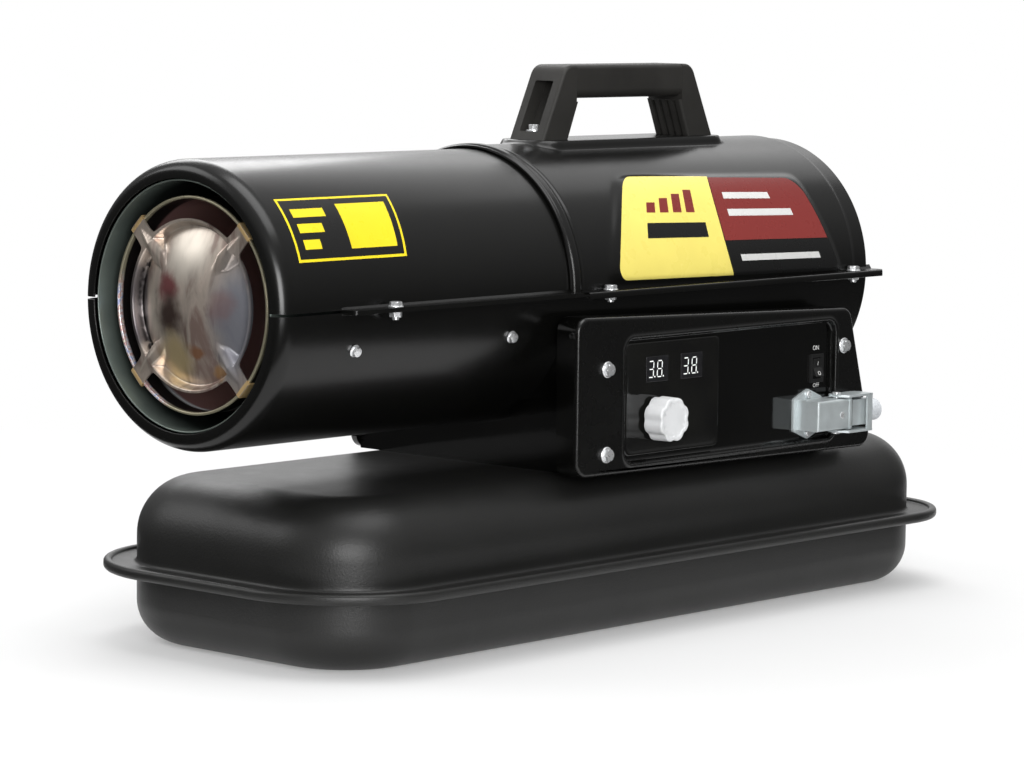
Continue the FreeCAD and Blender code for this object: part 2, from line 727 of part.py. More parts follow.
def panel_corners(front):
    """Corners of a cover with the given front edge, in the plane of the side plate."""
    return [
        Vector(front, -SIDE_Y, PANEL_TOP_FRONT),
        Vector(PANEL_REAR_TOP, -SIDE_Y, PANEL_TOP_REAR),
        Vector(PANEL_REAR_LOW, -SIDE_Y, PANEL_LOW_REAR),
        Vector(front, -SIDE_Y, PANEL_LOW_FRONT),
    ]


def post_places(front):
    """Where the three screws of a cover with the given front edge go, as (x, z)."""
    return [
        (front + POST_MARGIN, PANEL_TOP_FRONT - POST_DROP),
        (front + POST_MARGIN, PANEL_LOW_FRONT + POST_RISE),
        (RECESS_REAR + 2 * POST_RADIUS, PANEL_TOP_REAR - POST_DROP + 2 * POST_RADIUS),
    ]


def recess_prism(grow, back):
    """The pressed recess as a solid from in front of the panel to a depth, grown all round."""
    front = -PANEL_Y - RECESS_DEPTH
    corners = [
        Vector(RECESS_FRONT - grow, front, RECESS_TOP + grow),
        Vector(RECESS_REAR + grow, front, RECESS_TOP + grow),
        Vector(RECESS_REAR + grow, front, RECESS_LOW - grow),
        Vector(RECESS_FRONT - grow, front, RECESS_LOW - grow),
    ]
    return prism(corners, [RECESS_CORNER + grow] * 4, Y_AXIS * (back - front))


def support_side(face, front):
    """Side plate on the control side: a window behind the recess and four posts up to a cover."""
    inner = -SIDE_Y + BASE_SHEET
    corners = inset_corners(panel_corners(front), COVER_SHEET + FIT)
    plate = prism(corners, [PANEL_CORNER] * 4, Y_AXIS * BASE_SHEET)
    window = [(RECESS_FRONT, RECESS_REAR), (-SIDE_Y, inner), (RECESS_LOW, RECESS_TOP)]
    plate = plate.cut(block(*window))
    post_top = -face + COVER_SHEET
    posts = []
    holes = []
    for x, z in post_places(front):
        posts.append(rod(POST_RADIUS, Vector(x, post_top, z), Vector(x, inner, z)))
        holes.append(rod(SCREW_RADIUS + SCREW_CLEARANCE, Vector(x, post_top, z), Vector(x, inner, z)))
    return fused([plate] + posts).cut(holes)


def support_wall(x, lip):
    """Cross wall cut to the tube, with a saddle lip on the given side that follows the tube."""
    cradle = TUBE_RADIUS + SADDLE_GAP
    plate = block((x, x + BASE_SHEET), (-SIDE_Y, SIDE_Y), (TANK_HEIGHT, TANK_HEIGHT + WALL_HEIGHT))
    edge = x if lip < 0 else x + BASE_SHEET
    ends = sorted((edge, edge + lip * SADDLE_WIDTH))
    saddle = pipe(cradle + BASE_SHEET, cradle, at_axis(ends[0]), at_axis(ends[1]))
    reach = cradle + BASE_SHEET
    under = block(ends, (-SADDLE_HALF, SADDLE_HALF), (AXIS_HEIGHT - reach, AXIS_HEIGHT))
    plate = plate.cut(rod(cradle, at_axis(x), at_axis(x + BASE_SHEET)))
    return [plate, saddle.common(under)]


def support_frame():
    """Box of folded sheet: floor on the tank, two cross walls, two side plates with posts."""
    floor = block((BASE_FRONT, BASE_REAR), (-FLAT_HALF, FLAT_HALF), (TANK_HEIGHT, BASE_FLOOR))
    walls = support_wall(BASE_FRONT, -1) + support_wall(BASE_REAR - BASE_SHEET, 1)
    sides = [support_side(PANEL_Y, PANEL_FRONT)]
    sides.append(both_sides(support_side(FAR_COVER_Y, FAR_COVER_FRONT))[1])
    frame = fused([floor] + walls + sides)
    holes = []
    for x, y in base_bolt_places():
        holes.append(rod(BASE_BOLT + FIT, Vector(x, y, TANK_HEIGHT), Vector(x, y, BASE_FLOOR)))
    fitting = Vector(PICKUP_X, PICKUP_Y, TANK_HEIGHT)
    clear = PICKUP_FLATS / math.sqrt(3) + 2 * FIT
    holes.append(rod(clear, fitting, fitting + Z_AXIS * BASE_SHEET))
    return frame.cut(holes)


def cover_screw_holes(face, front):
    """Bars through a cover at its four screws."""
    bars = []
    for x, z in post_places(front):
        start = Vector(x, -face - COVER_SHEET, z)
        bars.append(rod(SCREW_RADIUS + SCREW_CLEARANCE, start, Vector(x, -SIDE_Y, z)))
    return bars


def cover_tray(face, front):
    """Pressed tray with a rounded face edge, open towards the support box."""
    corners = panel_corners(front)
    outer = prism(corners, [PANEL_CORNER] * 4, Y_AXIS * (SIDE_Y - face))
    outer = outer.makeFillet(PANEL_EDGE, edges_at(outer, "y", -face))
    inner_corners = inset_corners(corners, COVER_SHEET)
    depth = SIDE_Y - face + COVER_SHEET
    inner = prism(inner_corners, [PANEL_CORNER - COVER_SHEET] * 4, Y_AXIS * depth)
    return outer, inner


def side_cover():
    """Plain tray on the side away from the controls."""
    outer, inner = cover_tray(FAR_COVER_Y, FAR_COVER_FRONT)
    return both_sides(outer.cut(inner).cut(cover_screw_holes(FAR_COVER_Y, FAR_COVER_FRONT)))[1]


def control_cover():
    """Tray on the control side, with a pressed recess and the cut-outs of its controls."""
    outer, inner = cover_tray(PANEL_Y, PANEL_FRONT)
    tray = outer.cut(inner.cut(recess_prism(COVER_SHEET, FLOOR_BACK)))
    tray = tray.cut(recess_prism(0.0, FLOOR_FACE))
    through = (FLOOR_FACE - COVER_SHEET, FLOOR_BACK + COVER_SHEET)
    holes = cover_screw_holes(PANEL_Y, PANEL_FRONT)
    for x in DISPLAY_X:
        holes.append(display_block(x, through, FIT))
    holes.append(rod(BUSH_RADIUS + FIT, knob_line(through[0]), knob_line(through[1])))
    holes.append(switch_block(SWITCH_BORDER - FIT, through))
    wire_way = HOUSING_HEIGHT / 2 - 2 * HOUSING_WALL
    holes.append(rod(wire_way, Vector(PLUG_X, through[0], PLUG_Z), Vector(PLUG_X, through[1], PLUG_Z)))
    for z in (PLUG_Z - EAR_PITCH, PLUG_Z + EAR_PITCH):
        ear = (Vector(PLUG_X, through[0], z), Vector(PLUG_X, through[1], z))
        holes.append(rod(SCREW_RADIUS + SCREW_CLEARANCE, *ear))
    return tray.cut(holes)


# Controls


def display_block(x, y, grow):
    """One display's outline between two depths, grown all round."""
    half = DISPLAY_WIDTH / 2 + grow
    tall = DISPLAY_HEIGHT / 2 + grow
    return block((x - half, x + half), y, (DISPLAY_Z - tall, DISPLAY_Z + tall))


def display_modules():
    """Two digit modules standing on the control board and showing through the panel."""
    front = FILM_FACE - DISPLAY_PROUD
    return Part.makeCompound([display_block(x, (front, BOARD_FACE), 0.0) for x in DISPLAY_X])


def panel_film():
    """Glossy film over the left part of the recess, cut out round displays and spindle."""
    film = block((FILM_FRONT, FILM_REAR), (FILM_FACE, FLOOR_FACE), (FILM_LOW, FILM_TOP))
    cuts = [display_block(x, (FILM_FACE, FLOOR_FACE), FIT) for x in DISPLAY_X]
    cuts.append(rod(BUSH_RADIUS + FIT, knob_line(FILM_FACE), knob_line(FLOOR_FACE)))
    return film.cut(cuts)


def knob_line(depth):
    """Point on the knob's axis at a depth."""
    return Vector(KNOB_X, depth, KNOB_Z)


def control_knob():
    """Lobed knob with a blind bore on its spindle."""
    knob = rod(KNOB_RADIUS, knob_line(KNOB_FACE), knob_line(KNOB_BACK))
    knob = knob.makeChamfer(1.0, edges_at(knob, "y", KNOB_FACE))
    reach = KNOB_RADIUS + KNOB_FLUTE - KNOB_FLUTE_DEPTH
    flutes = []
    for index in range(KNOB_LOBES):
        turn = 2 * math.pi * (index + 0.5) / KNOB_LOBES
        offset = Vector(reach * math.cos(turn), 0, reach * math.sin(turn))
        flutes.append(rod(KNOB_FLUTE, knob_line(KNOB_FACE) + offset, knob_line(KNOB_BACK) + offset))
    bore = rod(SPINDLE_RADIUS, knob_line(KNOB_BACK - KNOB_LENGTH / 2), knob_line(KNOB_BACK))
    return knob.cut(flutes).cut(bore)


def knob_spindle():
    """Spindle from inside the thermostat to halfway into the knob."""
    end = FLOOR_BACK + DIAL_BODY_LENGTH / 2
    return rod(SPINDLE_RADIUS, knob_line(KNOB_BACK - KNOB_LENGTH / 2), knob_line(end))


def thermostat():
    """Thermostat body behind the panel, its bush coming through the recess floor."""
    back = FLOOR_BACK + DIAL_BODY_LENGTH
    body = rod(DIAL_BODY_RADIUS, knob_line(FLOOR_BACK), knob_line(back))
    bush = rod(BUSH_RADIUS, knob_line(FILM_FACE - KNOB_GAP / 2), knob_line(FLOOR_BACK))
    end = FLOOR_BACK + DIAL_BODY_LENGTH / 2 + RUNNING
    well = rod(SPINDLE_RADIUS + RUNNING, knob_line(KNOB_FACE), knob_line(end))
    return fused([body, bush]).cut(well)


def switch_block(border, y):
    """The switch's outline drawn in by a border, between two depths."""
    half = SWITCH_WIDTH / 2 - border
    tall = SWITCH_HEIGHT / 2 - border
    return block((SWITCH_X - half, SWITCH_X + half), y, (SWITCH_Z - tall, SWITCH_Z + tall))


def switch_frame():
    """Bezel on the recess floor with a hollow body behind it."""
    front = FLOOR_FACE - SWITCH_BEZEL
    back = FLOOR_FACE + SWITCH_BODY
    body = fused([switch_block(0.0, (front, FLOOR_FACE)), switch_block(SWITCH_BORDER, (FLOOR_FACE, back))])
    wall = SWITCH_BORDER + COVER_SHEET / 2
    pivot = rocker_pivot(ROCKER_PIVOT + RUNNING, SWITCH_WIDTH / 2 - SWITCH_BORDER)
    return body.cut([switch_block(wall, (front, back - SWITCH_BORDER)), pivot])


def rocker_pivot(radius, reach):
    """Round bar across the switch on the rocker's axis."""
    middle = Vector(SWITCH_X, FLOOR_FACE + SWITCH_BEZEL, SWITCH_Z)
    return rod(radius, middle - X_AXIS * reach, middle + X_AXIS * reach)


def switch_rocker():
    """Rocker with a shallow V face on two round pivots, its upper end pressed in."""
    half = SWITCH_WIDTH / 2 - SWITCH_BORDER - COVER_SHEET / 2 - ROCKER_GAP
    tall = SWITCH_HEIGHT / 2 - SWITCH_BORDER - COVER_SHEET / 2 - 3 * ROCKER_GAP
    pivot = FLOOR_FACE + SWITCH_BEZEL
    crest = pivot - 2.2 * SWITCH_BEZEL
    corners = [
        Vector(SWITCH_X - half, crest - SWITCH_BEZEL, SWITCH_Z + tall),
        Vector(SWITCH_X - half, crest, SWITCH_Z),
        Vector(SWITCH_X - half, crest - SWITCH_BEZEL, SWITCH_Z - tall),
        Vector(SWITCH_X - half, pivot + SWITCH_BEZEL, SWITCH_Z - tall / 2),
        Vector(SWITCH_X - half, pivot + SWITCH_BEZEL, SWITCH_Z + tall / 2),
    ]
    rocker = prism(corners, [0.0] * 5, X_AXIS * (2 * half))
    rocker.rotate(Vector(SWITCH_X, pivot, SWITCH_Z), X_AXIS, -ROCKER_TILT)
    return fused([rocker, rocker_pivot(ROCKER_PIVOT, half + 2 * ROCKER_GAP)])


# Locking connector


def housing_block(x, draw_in):
    """Square section of the connector between two places, drawn in all round."""
    y = (HOUSING_FACE + draw_in, PLATE_FACE - draw_in)
    return block(x, y, (HOUSING_LOW + draw_in, HOUSING_TOP - draw_in))


def housing_mouth():
    """Raised frame with rounded corners round the open end of the housing."""
    start = HOUSING_REAR - MOUTH_LENGTH
    y = (HOUSING_FACE - MOUTH_GROW, PLATE_FACE + MOUTH_GROW)
    z = (HOUSING_LOW - MOUTH_GROW, HOUSING_TOP + MOUTH_GROW)
    corners = [Vector(start, y[0], z[0]), Vector(start, y[1], z[0])]
    corners += [Vector(start, y[1], z[1]), Vector(start, y[0], z[1])]
    return prism(corners, [HOUSING_WALL] * 4, X_AXIS * MOUTH_LENGTH)


def connector_housing():
    """Eared plate on the panel with a square housing that opens towards the rear."""
    corners = [
        Vector(PLUG_X, FLOOR_FACE, PLUG_Z + PLATE_EAR),
        Vector(PLUG_X + PLATE_HALF, FLOOR_FACE, PLUG_Z + PLATE_EDGE),
        Vector(PLUG_X + PLATE_HALF, FLOOR_FACE, PLUG_Z - PLATE_EDGE),
        Vector(PLUG_X, FLOOR_FACE, PLUG_Z - PLATE_EAR),
        Vector(PLUG_X - PLATE_HALF, FLOOR_FACE, PLUG_Z - PLATE_EDGE),
        Vector(PLUG_X - PLATE_HALF, FLOOR_FACE, PLUG_Z + PLATE_EDGE),
    ]
    plate = prism(corners, [3.0, 2.0, 2.0, 3.0, 2.0, 2.0], Y_AXIS * -PLATE_THICK)
    shell = block((HOUSING_FRONT, HOUSING_REAR), (HOUSING_FACE, PLATE_FACE), (HOUSING_LOW, HOUSING_TOP))
    shell = shell.makeFillet(HOUSING_WALL, edges_at(shell, "y", HOUSING_FACE))
    body = fused([plate, shell, housing_mouth()])
    socket = housing_block((HOUSING_FRONT + HOUSING_WALL, HOUSING_REAR), HOUSING_WALL)
    wire_way = HOUSING_HEIGHT / 2 - 2 * HOUSING_WALL
    way = rod(wire_way, Vector(PLUG_X, HOUSING_MID, PLUG_Z), Vector(PLUG_X, FLOOR_FACE, PLUG_Z))
    holes = [socket, way]
    for z in (PLUG_Z - EAR_PITCH, PLUG_Z + EAR_PITCH):
        ear = (Vector(PLUG_X, PLATE_FACE, z), Vector(PLUG_X, FLOOR_FACE, z))
        holes.append(rod(SCREW_RADIUS + SCREW_CLEARANCE, *ear))
    for end in lever_pin_spots():
        holes.append(rod(PIN_RADIUS, *end))
    return body.cut(holes)


def connector_seal():
    """Flat rubber seal between housing and hood."""
    ring = housing_block((HOUSING_REAR, HOOD_FRONT), 0.0)
    return ring.cut(housing_block((HOUSING_REAR, HOOD_FRONT), 2 * HOUSING_WALL))


def connector_hood():
    """Hood plugged onto the housing, tapering to a collar for its gland."""
    depth = (HOUSING_FACE + HOOD_INSET, HOOD_BACK)
    body = block((HOOD_FRONT, HOOD_REAR), depth, (HOUSING_LOW + HOOD_INSET, HOUSING_TOP - HOOD_INSET))
    body = body.makeFillet(HOUSING_WALL, edges_at(body, "x", HOOD_REAR))
    start = Vector(HOOD_REAR - HOUSING_WALL, HOOD_BACK - GLAND_RADIUS, PLUG_Z)
    return body.cut(rod(GLAND_RADIUS / 2, start, start + X_AXIS * HOUSING_WALL))


def hood_gland():
    """Ribbed gland nut on the end of the hood, with a closed spigot."""
    start = Vector(HOOD_REAR, HOOD_BACK - GLAND_RADIUS, PLUG_Z)
    nut = hexagon(2 * GLAND_RADIUS * math.cos(math.pi / 6), start, start + X_AXIS * (GLAND_LENGTH / 2))
    collar = rod(GLAND_RADIUS * 0.8, start, start + X_AXIS * GLAND_LENGTH)
    spigot = rod(GLAND_RADIUS / 2 - FIT, start - X_AXIS * HOUSING_WALL, start)
    return fused([nut, collar, spigot])


def lever_pin_spots():
    """Start and end of the two lever pins, above and below the housing."""
    reach = LEVER_GAP + LEVER_THICK
    top = Vector(LEVER_X, HOUSING_MID, HOUSING_TOP)
    low = Vector(LEVER_X, HOUSING_MID, HOUSING_LOW)
    depth = Z_AXIS * HOUSING_WALL
    rise = Z_AXIS * (reach + RUNNING)
    return [(top - depth, top + rise), (low + depth, low - rise)]


def lever_pins():
    """Two headed pins fixed in the housing that carry the locking lever."""
    pins = []
    for start, end in lever_pin_spots():
        out = (end - start).normalize()
        head = rod(PIN_HEAD, end, end + out * PIN_HEAD_HEIGHT)
        pins.append(fused([rod(PIN_RADIUS, start, end), head]))
    return Part.makeCompound(pins)


def connector_lever():
    """Locking bail: an arm above and below the hood, joined by a bar across its front."""
    bar_rear = LEVER_X + LEVER_REACH
    front = HOUSING_FACE - LEVER_FRONT_GAP
    low = HOUSING_LOW - LEVER_GAP
    top = HOUSING_TOP + LEVER_GAP
    arms = []
    for z in (low - LEVER_THICK, top):
        corners = [
            Vector(LEVER_X - LEVER_WIDTH / 2, HOUSING_MID - LEVER_WIDTH / 2, z),
            Vector(LEVER_X, front - LEVER_THICK, z),
            Vector(bar_rear, front - LEVER_THICK, z),
            Vector(bar_rear, HOUSING_MID + LEVER_WIDTH / 2, z),
            Vector(LEVER_X - LEVER_WIDTH / 2, HOUSING_MID + LEVER_WIDTH / 2, z),
        ]
        arms.append(prism(corners, [3.0, 3.0, 1.0, 4.0, 4.0], Z_AXIS * LEVER_THICK))
    bar_x = (bar_rear - LEVER_BAR, bar_rear - 1.0)
    bar = block(bar_x, (front - LEVER_THICK, front), (low - LEVER_THICK, top + LEVER_THICK))
    pivot_low = Vector(LEVER_X, HOUSING_MID, low - PIN_HEAD)
    pivot = rod(PIN_RADIUS + RUNNING, pivot_low, Vector(LEVER_X, HOUSING_MID, top + PIN_HEAD))
    return fused(arms + [bar]).cut(pivot)


# Heater tube


def lip_path(rear):
    """Section of a tube shell with its front edge rolled in to the outlet."""
    middle = math.sqrt(0.5)
    centre = (TUBE_FRONT + LIP_ROLL, TUBE_RADIUS - LIP_ROLL)
    inner_roll = LIP_ROLL - SHELL_SHEET
    outer_mid = (centre[0] - LIP_ROLL * middle, centre[1] + LIP_ROLL * middle)
    inner_mid = (centre[0] - inner_roll * middle, centre[1] + inner_roll * middle)
    return [
        (rear, TUBE_RADIUS),
        (centre[0], TUBE_RADIUS),
        (outer_mid, (TUBE_FRONT, centre[1])),
        (TUBE_FRONT, OUTLET_RADIUS),
        (TUBE_FRONT + SHELL_SHEET, OUTLET_RADIUS),
        (TUBE_FRONT + SHELL_SHEET, centre[1]),
        (inner_mid, (centre[0], SHELL_BORE)),
        (rear, SHELL_BORE),
    ]


def seam_flange(front, rear, inner, low, front_round, rear_round):
    """Flat seam flange on both sides of the tube, rounded at its outer corners."""
    corners = [
        Vector(front, inner, low),
        Vector(rear, inner, low),
        Vector(rear, FLANGE_EDGE, low),
        Vector(front, FLANGE_EDGE, low),
    ]
    return both_sides(prism(corners, [0.0, 0.0, rear_round, front_round], Z_AXIS * SHELL_SHEET))


def flange_tails(inner, low):
    """Rounded ends of the seam flanges behind the shells."""
    return seam_flange(TUBE_REAR, TUBE_REAR + FLANGE_TAIL, inner, low, 0.0, FLANGE_END)


def flange_lips():
    """Edges of the rear flanges, turned down over the edges of the lower ones."""
    ends = (REAR_FLANGE_FRONT, TUBE_REAR + FLANGE_TAIL - FLANGE_END)
    inner = FLANGE_EDGE + FIT
    outer = inner + SHELL_SHEET
    top = AXIS_HEIGHT + SHELL_SHEET
    ledge = block(ends, (FLANGE_EDGE - SHELL_SHEET, outer), (AXIS_HEIGHT, top))
    lip = block(ends, (inner, outer), (AXIS_HEIGHT - FLANGE_DROP, top))
    return both_sides(fused([ledge, lip]))


def front_flange_way():
    """Room at the foot of the rear shell for the front shell's flanges."""
    ends = (REAR_SHELL_FRONT, REAR_FLANGE_FRONT)
    return both_sides(block(ends, (SHELL_BORE, FLANGE_EDGE), (AXIS_HEIGHT, AXIS_HEIGHT + SHELL_SHEET + FIT)))


def seam_slot():
    """Open gap between the upper and lower shells ahead of the flanges."""
    ends = (TUBE_FRONT - SHELL_SHEET, FLANGE_FRONT)
    half = SEAM_GAP / 2
    return block(ends, (-TUBE_RADIUS, TUBE_RADIUS), (AXIS_HEIGHT - half, AXIS_HEIGHT + half))


def flange_bolt_holes():
    """Bars through the seam flanges at every bolt."""
    bars = []
    for x in FLANGE_BOLTS:
        low = Vector(x, FLANGE_BOLT_Y, AXIS_HEIGHT - SHELL_SHEET)
        bars += both_sides(rod(FLANGE_BOLT_RADIUS + FIT, low, low + Z_AXIS * (2 * SHELL_SHEET)))
    return bars


def side_screw_lines():
    """Start and outward direction of each screw that holds the liner in the lower shell."""
    turn = math.radians(SIDE_SCREW_ANGLE)
    lines = []
    for x in SIDE_SCREWS:
        for side in (-1, 1):
            lines.append((at_axis(x), Vector(0, side * math.cos(turn), -math.sin(turn))))
    return lines


def line_crossings():
    """Where the fuel and air lines pass through the lower shell, as (x, y)."""
    return [(PICKUP_X, PICKUP_Y), (AIR_PORT_X, 0.0), (AIR_END_X, 0.0)]


def lower_shell():
    """Trough under the seam, running the whole length of the tube."""
    trough = revolved(lip_path(TUBE_REAR), 90, 180)
    low = AXIS_HEIGHT - SHELL_SHEET
    flanges = seam_flange(FLANGE_FRONT, TUBE_REAR, SHELL_BORE, low, FLANGE_END / 2, 0.0)
    tails = flange_tails(SHELL_BORE, low)
    holes = [seam_slot()] + flange_bolt_holes()
    for start, out in side_screw_lines():
        ends = (start + out * LINER_RADIUS, start + out * (TUBE_RADIUS + FIT))
        holes.append(rod(SCREW_RADIUS + SCREW_CLEARANCE, *ends))
    for x, y in line_crossings():
        bottom = Vector(x, y, AXIS_HEIGHT - TUBE_RADIUS)
        holes.append(rod(LINE_RADIUS + GROMMET_WALL, bottom, Vector(x, y, AXIS_HEIGHT - TUBE_RADIUS / 2)))
    return fused([trough] + flanges + tails).cut(holes)


def front_upper_shell():
    """Front half of the tube's roof, tucked under the rear shell."""
    roof = revolved(lip_path(REAR_SHELL_FRONT + OVERLAP), -90, 180)
    flange_rear = REAR_FLANGE_FRONT - FLANGE_NOTCH
    corner = FLANGE_END / 2
    flanges = seam_flange(FLANGE_FRONT, flange_rear, SHELL_BORE, AXIS_HEIGHT, corner, corner / 2)
    return fused([roof] + flanges).cut([seam_slot()] + flange_bolt_holes())


def rear_shell_path():
    """Section of the rear shell: a stiffening bead at its front edge, a step down at its rear."""
    bead = REAR_SHELL_FRONT + BEAD_START
    step = TUBE_REAR - STEP_BACK
    top = [
        (REAR_SHELL_FRONT, REAR_RADIUS),
        (bead, REAR_RADIUS),
        (bead + BEAD_RAMP, REAR_RADIUS + BEAD_HEIGHT),
        (bead + BEAD_RAMP + BEAD_FLAT, REAR_RADIUS + BEAD_HEIGHT),
        (bead + 2 * BEAD_RAMP + BEAD_FLAT, REAR_RADIUS),
        (step, REAR_RADIUS),
        (step + STEP_RAMP, TUBE_RADIUS),
        (TUBE_REAR, TUBE_RADIUS),
    ]
    under = [(x, radius - SHELL_SHEET) for x, radius in reversed(top)]
    return top + under


def side_pad():
    """Shallow raised pad on the near side of the rear shell."""
    corners = [
        Vector(PAD_FRONT_TOP, 0, AXIS_HEIGHT + PAD_TOP),
        Vector(PAD_REAR_TOP, 0, AXIS_HEIGHT + PAD_TOP),
        Vector(PAD_REAR_LOW, 0, AXIS_HEIGHT + PAD_LOW),
        Vector(PAD_FRONT_LOW, 0, AXIS_HEIGHT + PAD_LOW),
    ]
    window = prism(corners, PAD_CORNERS, Y_AXIS * -(REAR_RADIUS + 2 * PAD_HEIGHT))
    skin = REAR_RADIUS - SHELL_SHEET / 2
    band = pipe(REAR_RADIUS + PAD_HEIGHT, skin, at_axis(PAD_FRONT_LOW), at_axis(PAD_REAR_LOW))
    return band.common(window)


def handle_plateau():
    """Flat raised seat for the handle along the top of the rear shell."""
    front = HANDLE_MID - HANDLE_BASE_HALF - PLATEAU_OVERRUN
    rear = HANDLE_MID + HANDLE_BASE_HALF + PLATEAU_OVERRUN
    low = AXIS_HEIGHT + math.sqrt(REAR_RADIUS ** 2 - PLATEAU_HALF ** 2) - SHELL_SHEET
    corners = [
        Vector(front, -PLATEAU_HALF, low),
        Vector(rear, -PLATEAU_HALF, low),
        Vector(rear, PLATEAU_HALF, low),
        Vector(front, PLATEAU_HALF, low),
    ]
    seat = prism(corners, [PLATEAU_CORNER] * 4, Z_AXIS * (PLATEAU_TOP - low))
    return seat.cut(rod(REAR_RADIUS - SHELL_SHEET / 2, at_axis(front), at_axis(rear)))


def handle_screw_lines():
    """Where the two handle screws enter from the pocket floors, as top and bottom points."""
    lines = []
    for side in (-1, 1):
        x = HANDLE_MID + side * (HANDLE_BASE_HALF - FOOT_SCREW_INSET)
        bottom = Vector(x, 0, AXIS_HEIGHT + REAR_RADIUS - 3 * SHELL_SHEET)
        lines.append((Vector(x, 0, PLATEAU_TOP + POCKET_LOW), bottom))
    return lines


def rear_upper_shell():
    """Rear half of the tube's roof, over the fan and motor, with its two pressed pads."""
    roof = revolved(rear_shell_path(), -90, 180)
    inner = REAR_RADIUS - SHELL_SHEET
    flanges = seam_flange(REAR_FLANGE_FRONT, TUBE_REAR, inner, AXIS_HEIGHT, FLANGE_END / 4, 0.0)
    tails = flange_tails(SHELL_BORE, AXIS_HEIGHT)
    holes = flange_bolt_holes()
    for top, bottom in handle_screw_lines():
        holes.append(rod(SCREW_RADIUS + SCREW_CLEARANCE, bottom, top))
    roof = roof.cut(front_flange_way())
    return fused([roof, side_pad(), handle_plateau()] + flanges + tails + flange_lips()).cut(holes)


# Handle


def handle_leg_pocket(side):
    """Deep pocket in the outer face of one leg, cut square to that sloping face."""
    base = Vector(HANDLE_MID + side * HANDLE_BASE_HALF, 0, PLATEAU_TOP)
    top = Vector(HANDLE_MID + side * HANDLE_TOP_HALF, 0, HANDLE_TOP)
    slope = top - base
    corners = []
    for height, y in ((POCKET_LOW, -1), (POCKET_LOW, 1), (POCKET_TOP, 1), (POCKET_TOP, -1)):
        spot = base + slope * (height / HANDLE_RISE)
        corners.append(spot + Y_AXIS * (y * POCKET_HALF) + X_AXIS * side)
    return prism(corners, [1.0] * 4, X_AXIS * (-side * (POCKET_DEPTH + 1)))


def handle_leg_grooves(side):
    """Upright grooves in the face of a leg towards the hand."""
    base = HANDLE_MID + side * HANDLE_INNER_BASE
    top = HANDLE_MID + side * HANDLE_INNER_TOP
    pitch = 2 * HANDLE_HALF_WIDTH / (LEG_GROOVES + 1)
    grooves = []
    for index in range(LEG_GROOVES):
        y = -HANDLE_HALF_WIDTH + (index + 1) * pitch - GROOVE_WIDTH / 2
        corners = [
            Vector(base, y, PLATEAU_TOP),
            Vector(base + side * GROOVE_DEPTH, y, PLATEAU_TOP),
            Vector(top + side * GROOVE_DEPTH, y, GRIP_LOW),
            Vector(top, y, GRIP_LOW),
        ]
        grooves.append(prism(corners, [0.0] * 4, Y_AXIS * GROOVE_WIDTH))
    return grooves


def grip_ends():
    """The grip's front and rear end."""
    return HANDLE_MID - HANDLE_INNER_TOP - GRIP_END, HANDLE_MID + HANDLE_INNER_TOP + GRIP_END


def grip_core(grow):
    """Square bar that runs through the grip, grown for a fit."""
    half = GRIP_CORE + grow
    middle = (GRIP_LOW + HANDLE_TOP) / 2
    return block(grip_ends(), (-half, half), (middle - half, middle + half))


def handle_frame():
    """Two hollow-faced legs with shoulders, and a bar between them inside the grip."""
    y = -HANDLE_HALF_WIDTH
    halves = [HANDLE_BASE_HALF, HANDLE_TOP_HALF, HANDLE_INNER_TOP, HANDLE_INNER_BASE]
    heights = [PLATEAU_TOP, HANDLE_TOP, GRIP_LOW, PLATEAU_TOP]
    front = [Vector(HANDLE_MID - half, y, z) for half, z in zip(halves, heights)]
    rear = [Vector(HANDLE_MID + half, y, z) for half, z in zip(halves, heights)]
    corners = front[:2] + [rear[1], rear[0], rear[3], rear[2], front[2], front[3]]
    radii = [0.0, HANDLE_ROUND, HANDLE_ROUND, 0.0, 0.0, HANDLE_INNER_ROUND, HANDLE_INNER_ROUND, 0.0]
    arch = prism(corners, radii, Y_AXIS * (2 * HANDLE_HALF_WIDTH))
    sides = edges_at(arch, "y", y) + edges_at(arch, "y", -y)
    rounded = [edge for edge in sides if edge.BoundBox.ZMax > PLATEAU_TOP + 1]
    arch = arch.makeFillet(HANDLE_EDGE, rounded)
    ends = grip_ends()
    gap = block(ends, (y, -y), (GRIP_LOW - GROOVE_DEPTH, HANDLE_TOP))
    arch = arch.cut(gap)
    cuts = []
    for side in (-1, 1):
        cuts.append(handle_leg_pocket(side))
        cuts += handle_leg_grooves(side)
    for top, bottom in handle_screw_lines():
        cuts.append(rod(SCREW_RADIUS + SCREW_CLEARANCE, Vector(top.x, 0, PLATEAU_TOP), top))
    return fused([arch.cut(cuts), grip_core(0.0)])


def handle_grip():
    """Soft grip round the bar between the legs."""
    ends = grip_ends()
    y = HANDLE_HALF_WIDTH
    corners = [
        Vector(ends[0], -y, GRIP_LOW),
        Vector(ends[0], y, GRIP_LOW),
        Vector(ends[0], y, HANDLE_TOP),
        Vector(ends[0], -y, HANDLE_TOP),
    ]
    radii = [GRIP_ROUND, GRIP_ROUND, GRIP_ROUND / 2, GRIP_ROUND / 2]
    grip = prism(corners, radii, X_AXIS * (ends[1] - ends[0]))
    return grip.cut(grip_core(0.0))


# Burner


def heat_liner():
    """Steel liner that frames the outlet and shields the shells from the flame tube."""
    front = at_axis(TUBE_FRONT + LINER_SETBACK)
    liner = pipe(LINER_RADIUS, LINER_RADIUS - LINER_SHEET, front, at_axis(LINER_REAR))
    holes = []
    for start, out in side_screw_lines():
        inner = start + out * (LINER_RADIUS - 2 * LINER_SHEET)
        holes.append(rod(SCREW_RADIUS + SCREW_CLEARANCE, inner, start + out * (LINER_RADIUS + FIT)))
    return liner.cut(holes)


